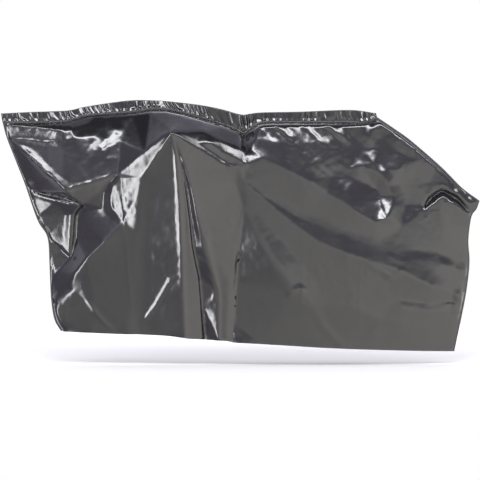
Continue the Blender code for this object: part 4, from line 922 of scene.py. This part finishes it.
def studio_light():
    """A pale studio, darker above, with soft boxes in front and dimmer ones behind."""
    world = bpy.data.worlds.new("studio")
    bpy.context.scene.world = world
    world.use_nodes = True
    nodes = Nodes(world.node_tree)
    way = nodes.make("ShaderNodeSeparateXYZ",
                     {0: nodes.make("ShaderNodeTexCoord").outputs["Generated"]}).outputs
    degrees = 180 / math.pi
    azimuth = nodes.math("ARCTAN2", way[0], nodes.math("ABSOLUTE", way[1]))
    azimuth = nodes.math("MULTIPLY", azimuth, degrees)
    height = nodes.math("MULTIPLY", nodes.math("ARCSINE", way[2]), degrees)
    ahead = nodes.ramp(way[1], *BOXES_BEHIND)

    def box(at, up, wide, high, edge):
        """Share of a soft box centred at an azimuth and height; edge 2 is hazy, 4 is crisp."""
        parts = []
        for value, middle, size in ((azimuth, at, wide), (height, up, high)):
            away = nodes.math("DIVIDE", nodes.math("SUBTRACT", value, middle), size)
            parts.append(nodes.math("POWER", nodes.math("ABSOLUTE", away), float(edge)))
        share = nodes.math("EXPONENT", nodes.math("MULTIPLY", nodes.math("ADD", *parts), -1.0))
        return nodes.math("MULTIPLY", share, ahead)

    pale = nodes.math("MULTIPLY", nodes.ramp(height, *PALE_HEIGHT), nodes.ramp(azimuth, *PALE_AZIMUTH))
    tone = nodes.math("ADD", nodes.ramp(azimuth, *TONE_REAR), nodes.ramp(azimuth, *TONE_FRONT))
    tone = nodes.math("ADD", tone, nodes.ramp(height, *TONE_BELOW))
    dark = nodes.mix(nodes.ramp(height, *DARK_HEIGHT), DARK_BELOW, DARK_ABOVE)
    light = nodes.mix(pale, dark, nodes.scaled(BACKDROP, tone))
    light = nodes.add(light, nodes.ramp(way[1], *HAZE_BEHIND), BEHIND_HAZE)
    for colour, power, at, up, wide, high, edge in SOFT_BOXES:
        light = nodes.add(light, box(at, up, wide, high, edge), tuple(c * power for c in colour))
    seen = nodes.make("ShaderNodeLightPath").outputs["Is Camera Ray"]
    shown = nodes.make("ShaderNodeBackground", {0: (*WHITE, 1)})
    lit = nodes.make("ShaderNodeBackground", {0: light})
    both = nodes.make("ShaderNodeMixShader", {0: seen, 1: lit.outputs[0], 2: shown.outputs[0]})
    nodes.make("ShaderNodeOutputWorld", {0: both.outputs[0]})


def floor():
    """A plain white floor, lit from within so that it stays white to its edge."""
    ground = place(MOUNT_PX, GROUND_PY, 0)[2]
    bpy.ops.mesh.primitive_plane_add(size=1.0, location=(0, 0, ground))
    made = bpy.context.object
    made.name = "floor"
    made.scale = FLOOR_SIZE
    finish = bpy.data.materials.new("floor")
    finish.use_nodes = True
    shader = finish.node_tree.nodes["Principled BSDF"]
    shader.inputs["Base Color"].default_value = FLOOR_COLOUR
    shader.inputs["Roughness"].default_value = FLOOR_ROUGHNESS
    shader.inputs["Emission Color"].default_value = (*WHITE, 1)
    shader.inputs["Emission Strength"].default_value = FLOOR_GLOW
    made.data.materials.append(finish)
    made.visible_glossy = False


def floor_lamps():
    """Large lamps overhead, in front and behind, for a broad soft shadow on the floor."""
    for number, (y, z, energy) in enumerate(FLOOR_LAMPS):
        lamp = bpy.data.lights.new(f"lamp {number}", "AREA")
        lamp.shape = "RECTANGLE"
        lamp.size, lamp.size_y = LAMP_SIZE
        lamp.energy = energy
        made = new_object(f"lamp {number}", lamp)
        made.location = (0, y, z)
        made.rotation_euler = Vector((0, y, z - LAMP_AIM)).to_track_quat("Z", "Y").to_euler()
        made.visible_glossy = False


def camera():
    """The photograph's camera, level with the middle of the cover and a long way off."""
    lens = bpy.data.cameras.new("camera")
    lens.lens = CAMERA_LENS
    lens.sensor_width = CAMERA_SENSOR
    made = new_object("camera", lens)
    distance = CAMERA_LENS / CAMERA_SENSOR * FRAME_PX * PX
    target = Vector(place(FRAME_PX / 2, FRAME_PX / 2, 0))
    up = math.radians(CAMERA_HEIGHT)
    way = Vector((0, -math.cos(up), math.sin(up)))
    made.location = target + way * distance
    made.rotation_euler = (-way).to_track_quat("-Z", "Y").to_euler()
    lens.clip_end = CAMERA_REACH
    bpy.context.scene.camera = made
    bpy.context.scene.view_settings.view_transform = "Standard"


# ---- the whole ----
film = film_finish("film", 1.0)
heading = film_finish("heading", HEADING_GRAIN)
near = Side(NEAR_FOLDS, NEAR_CREASES, NEAR_PATCHES, NEAR_HEM, NEAR_SEED)
far = Side(FAR_FOLDS, FAR_CREASES, FAR_PATCHES, FAR_HEM, FAR_SEED)
heading_band(heading)
side_panel("panel_near", "side_near", near, NEAR_HEM, NEAR_SPACING, 1, film)
side_panel("panel_far", "side_far", far, FAR_HEM, FAR_SPACING, -1, film)
studio_light()
floor()
floor_lamps()
camera()
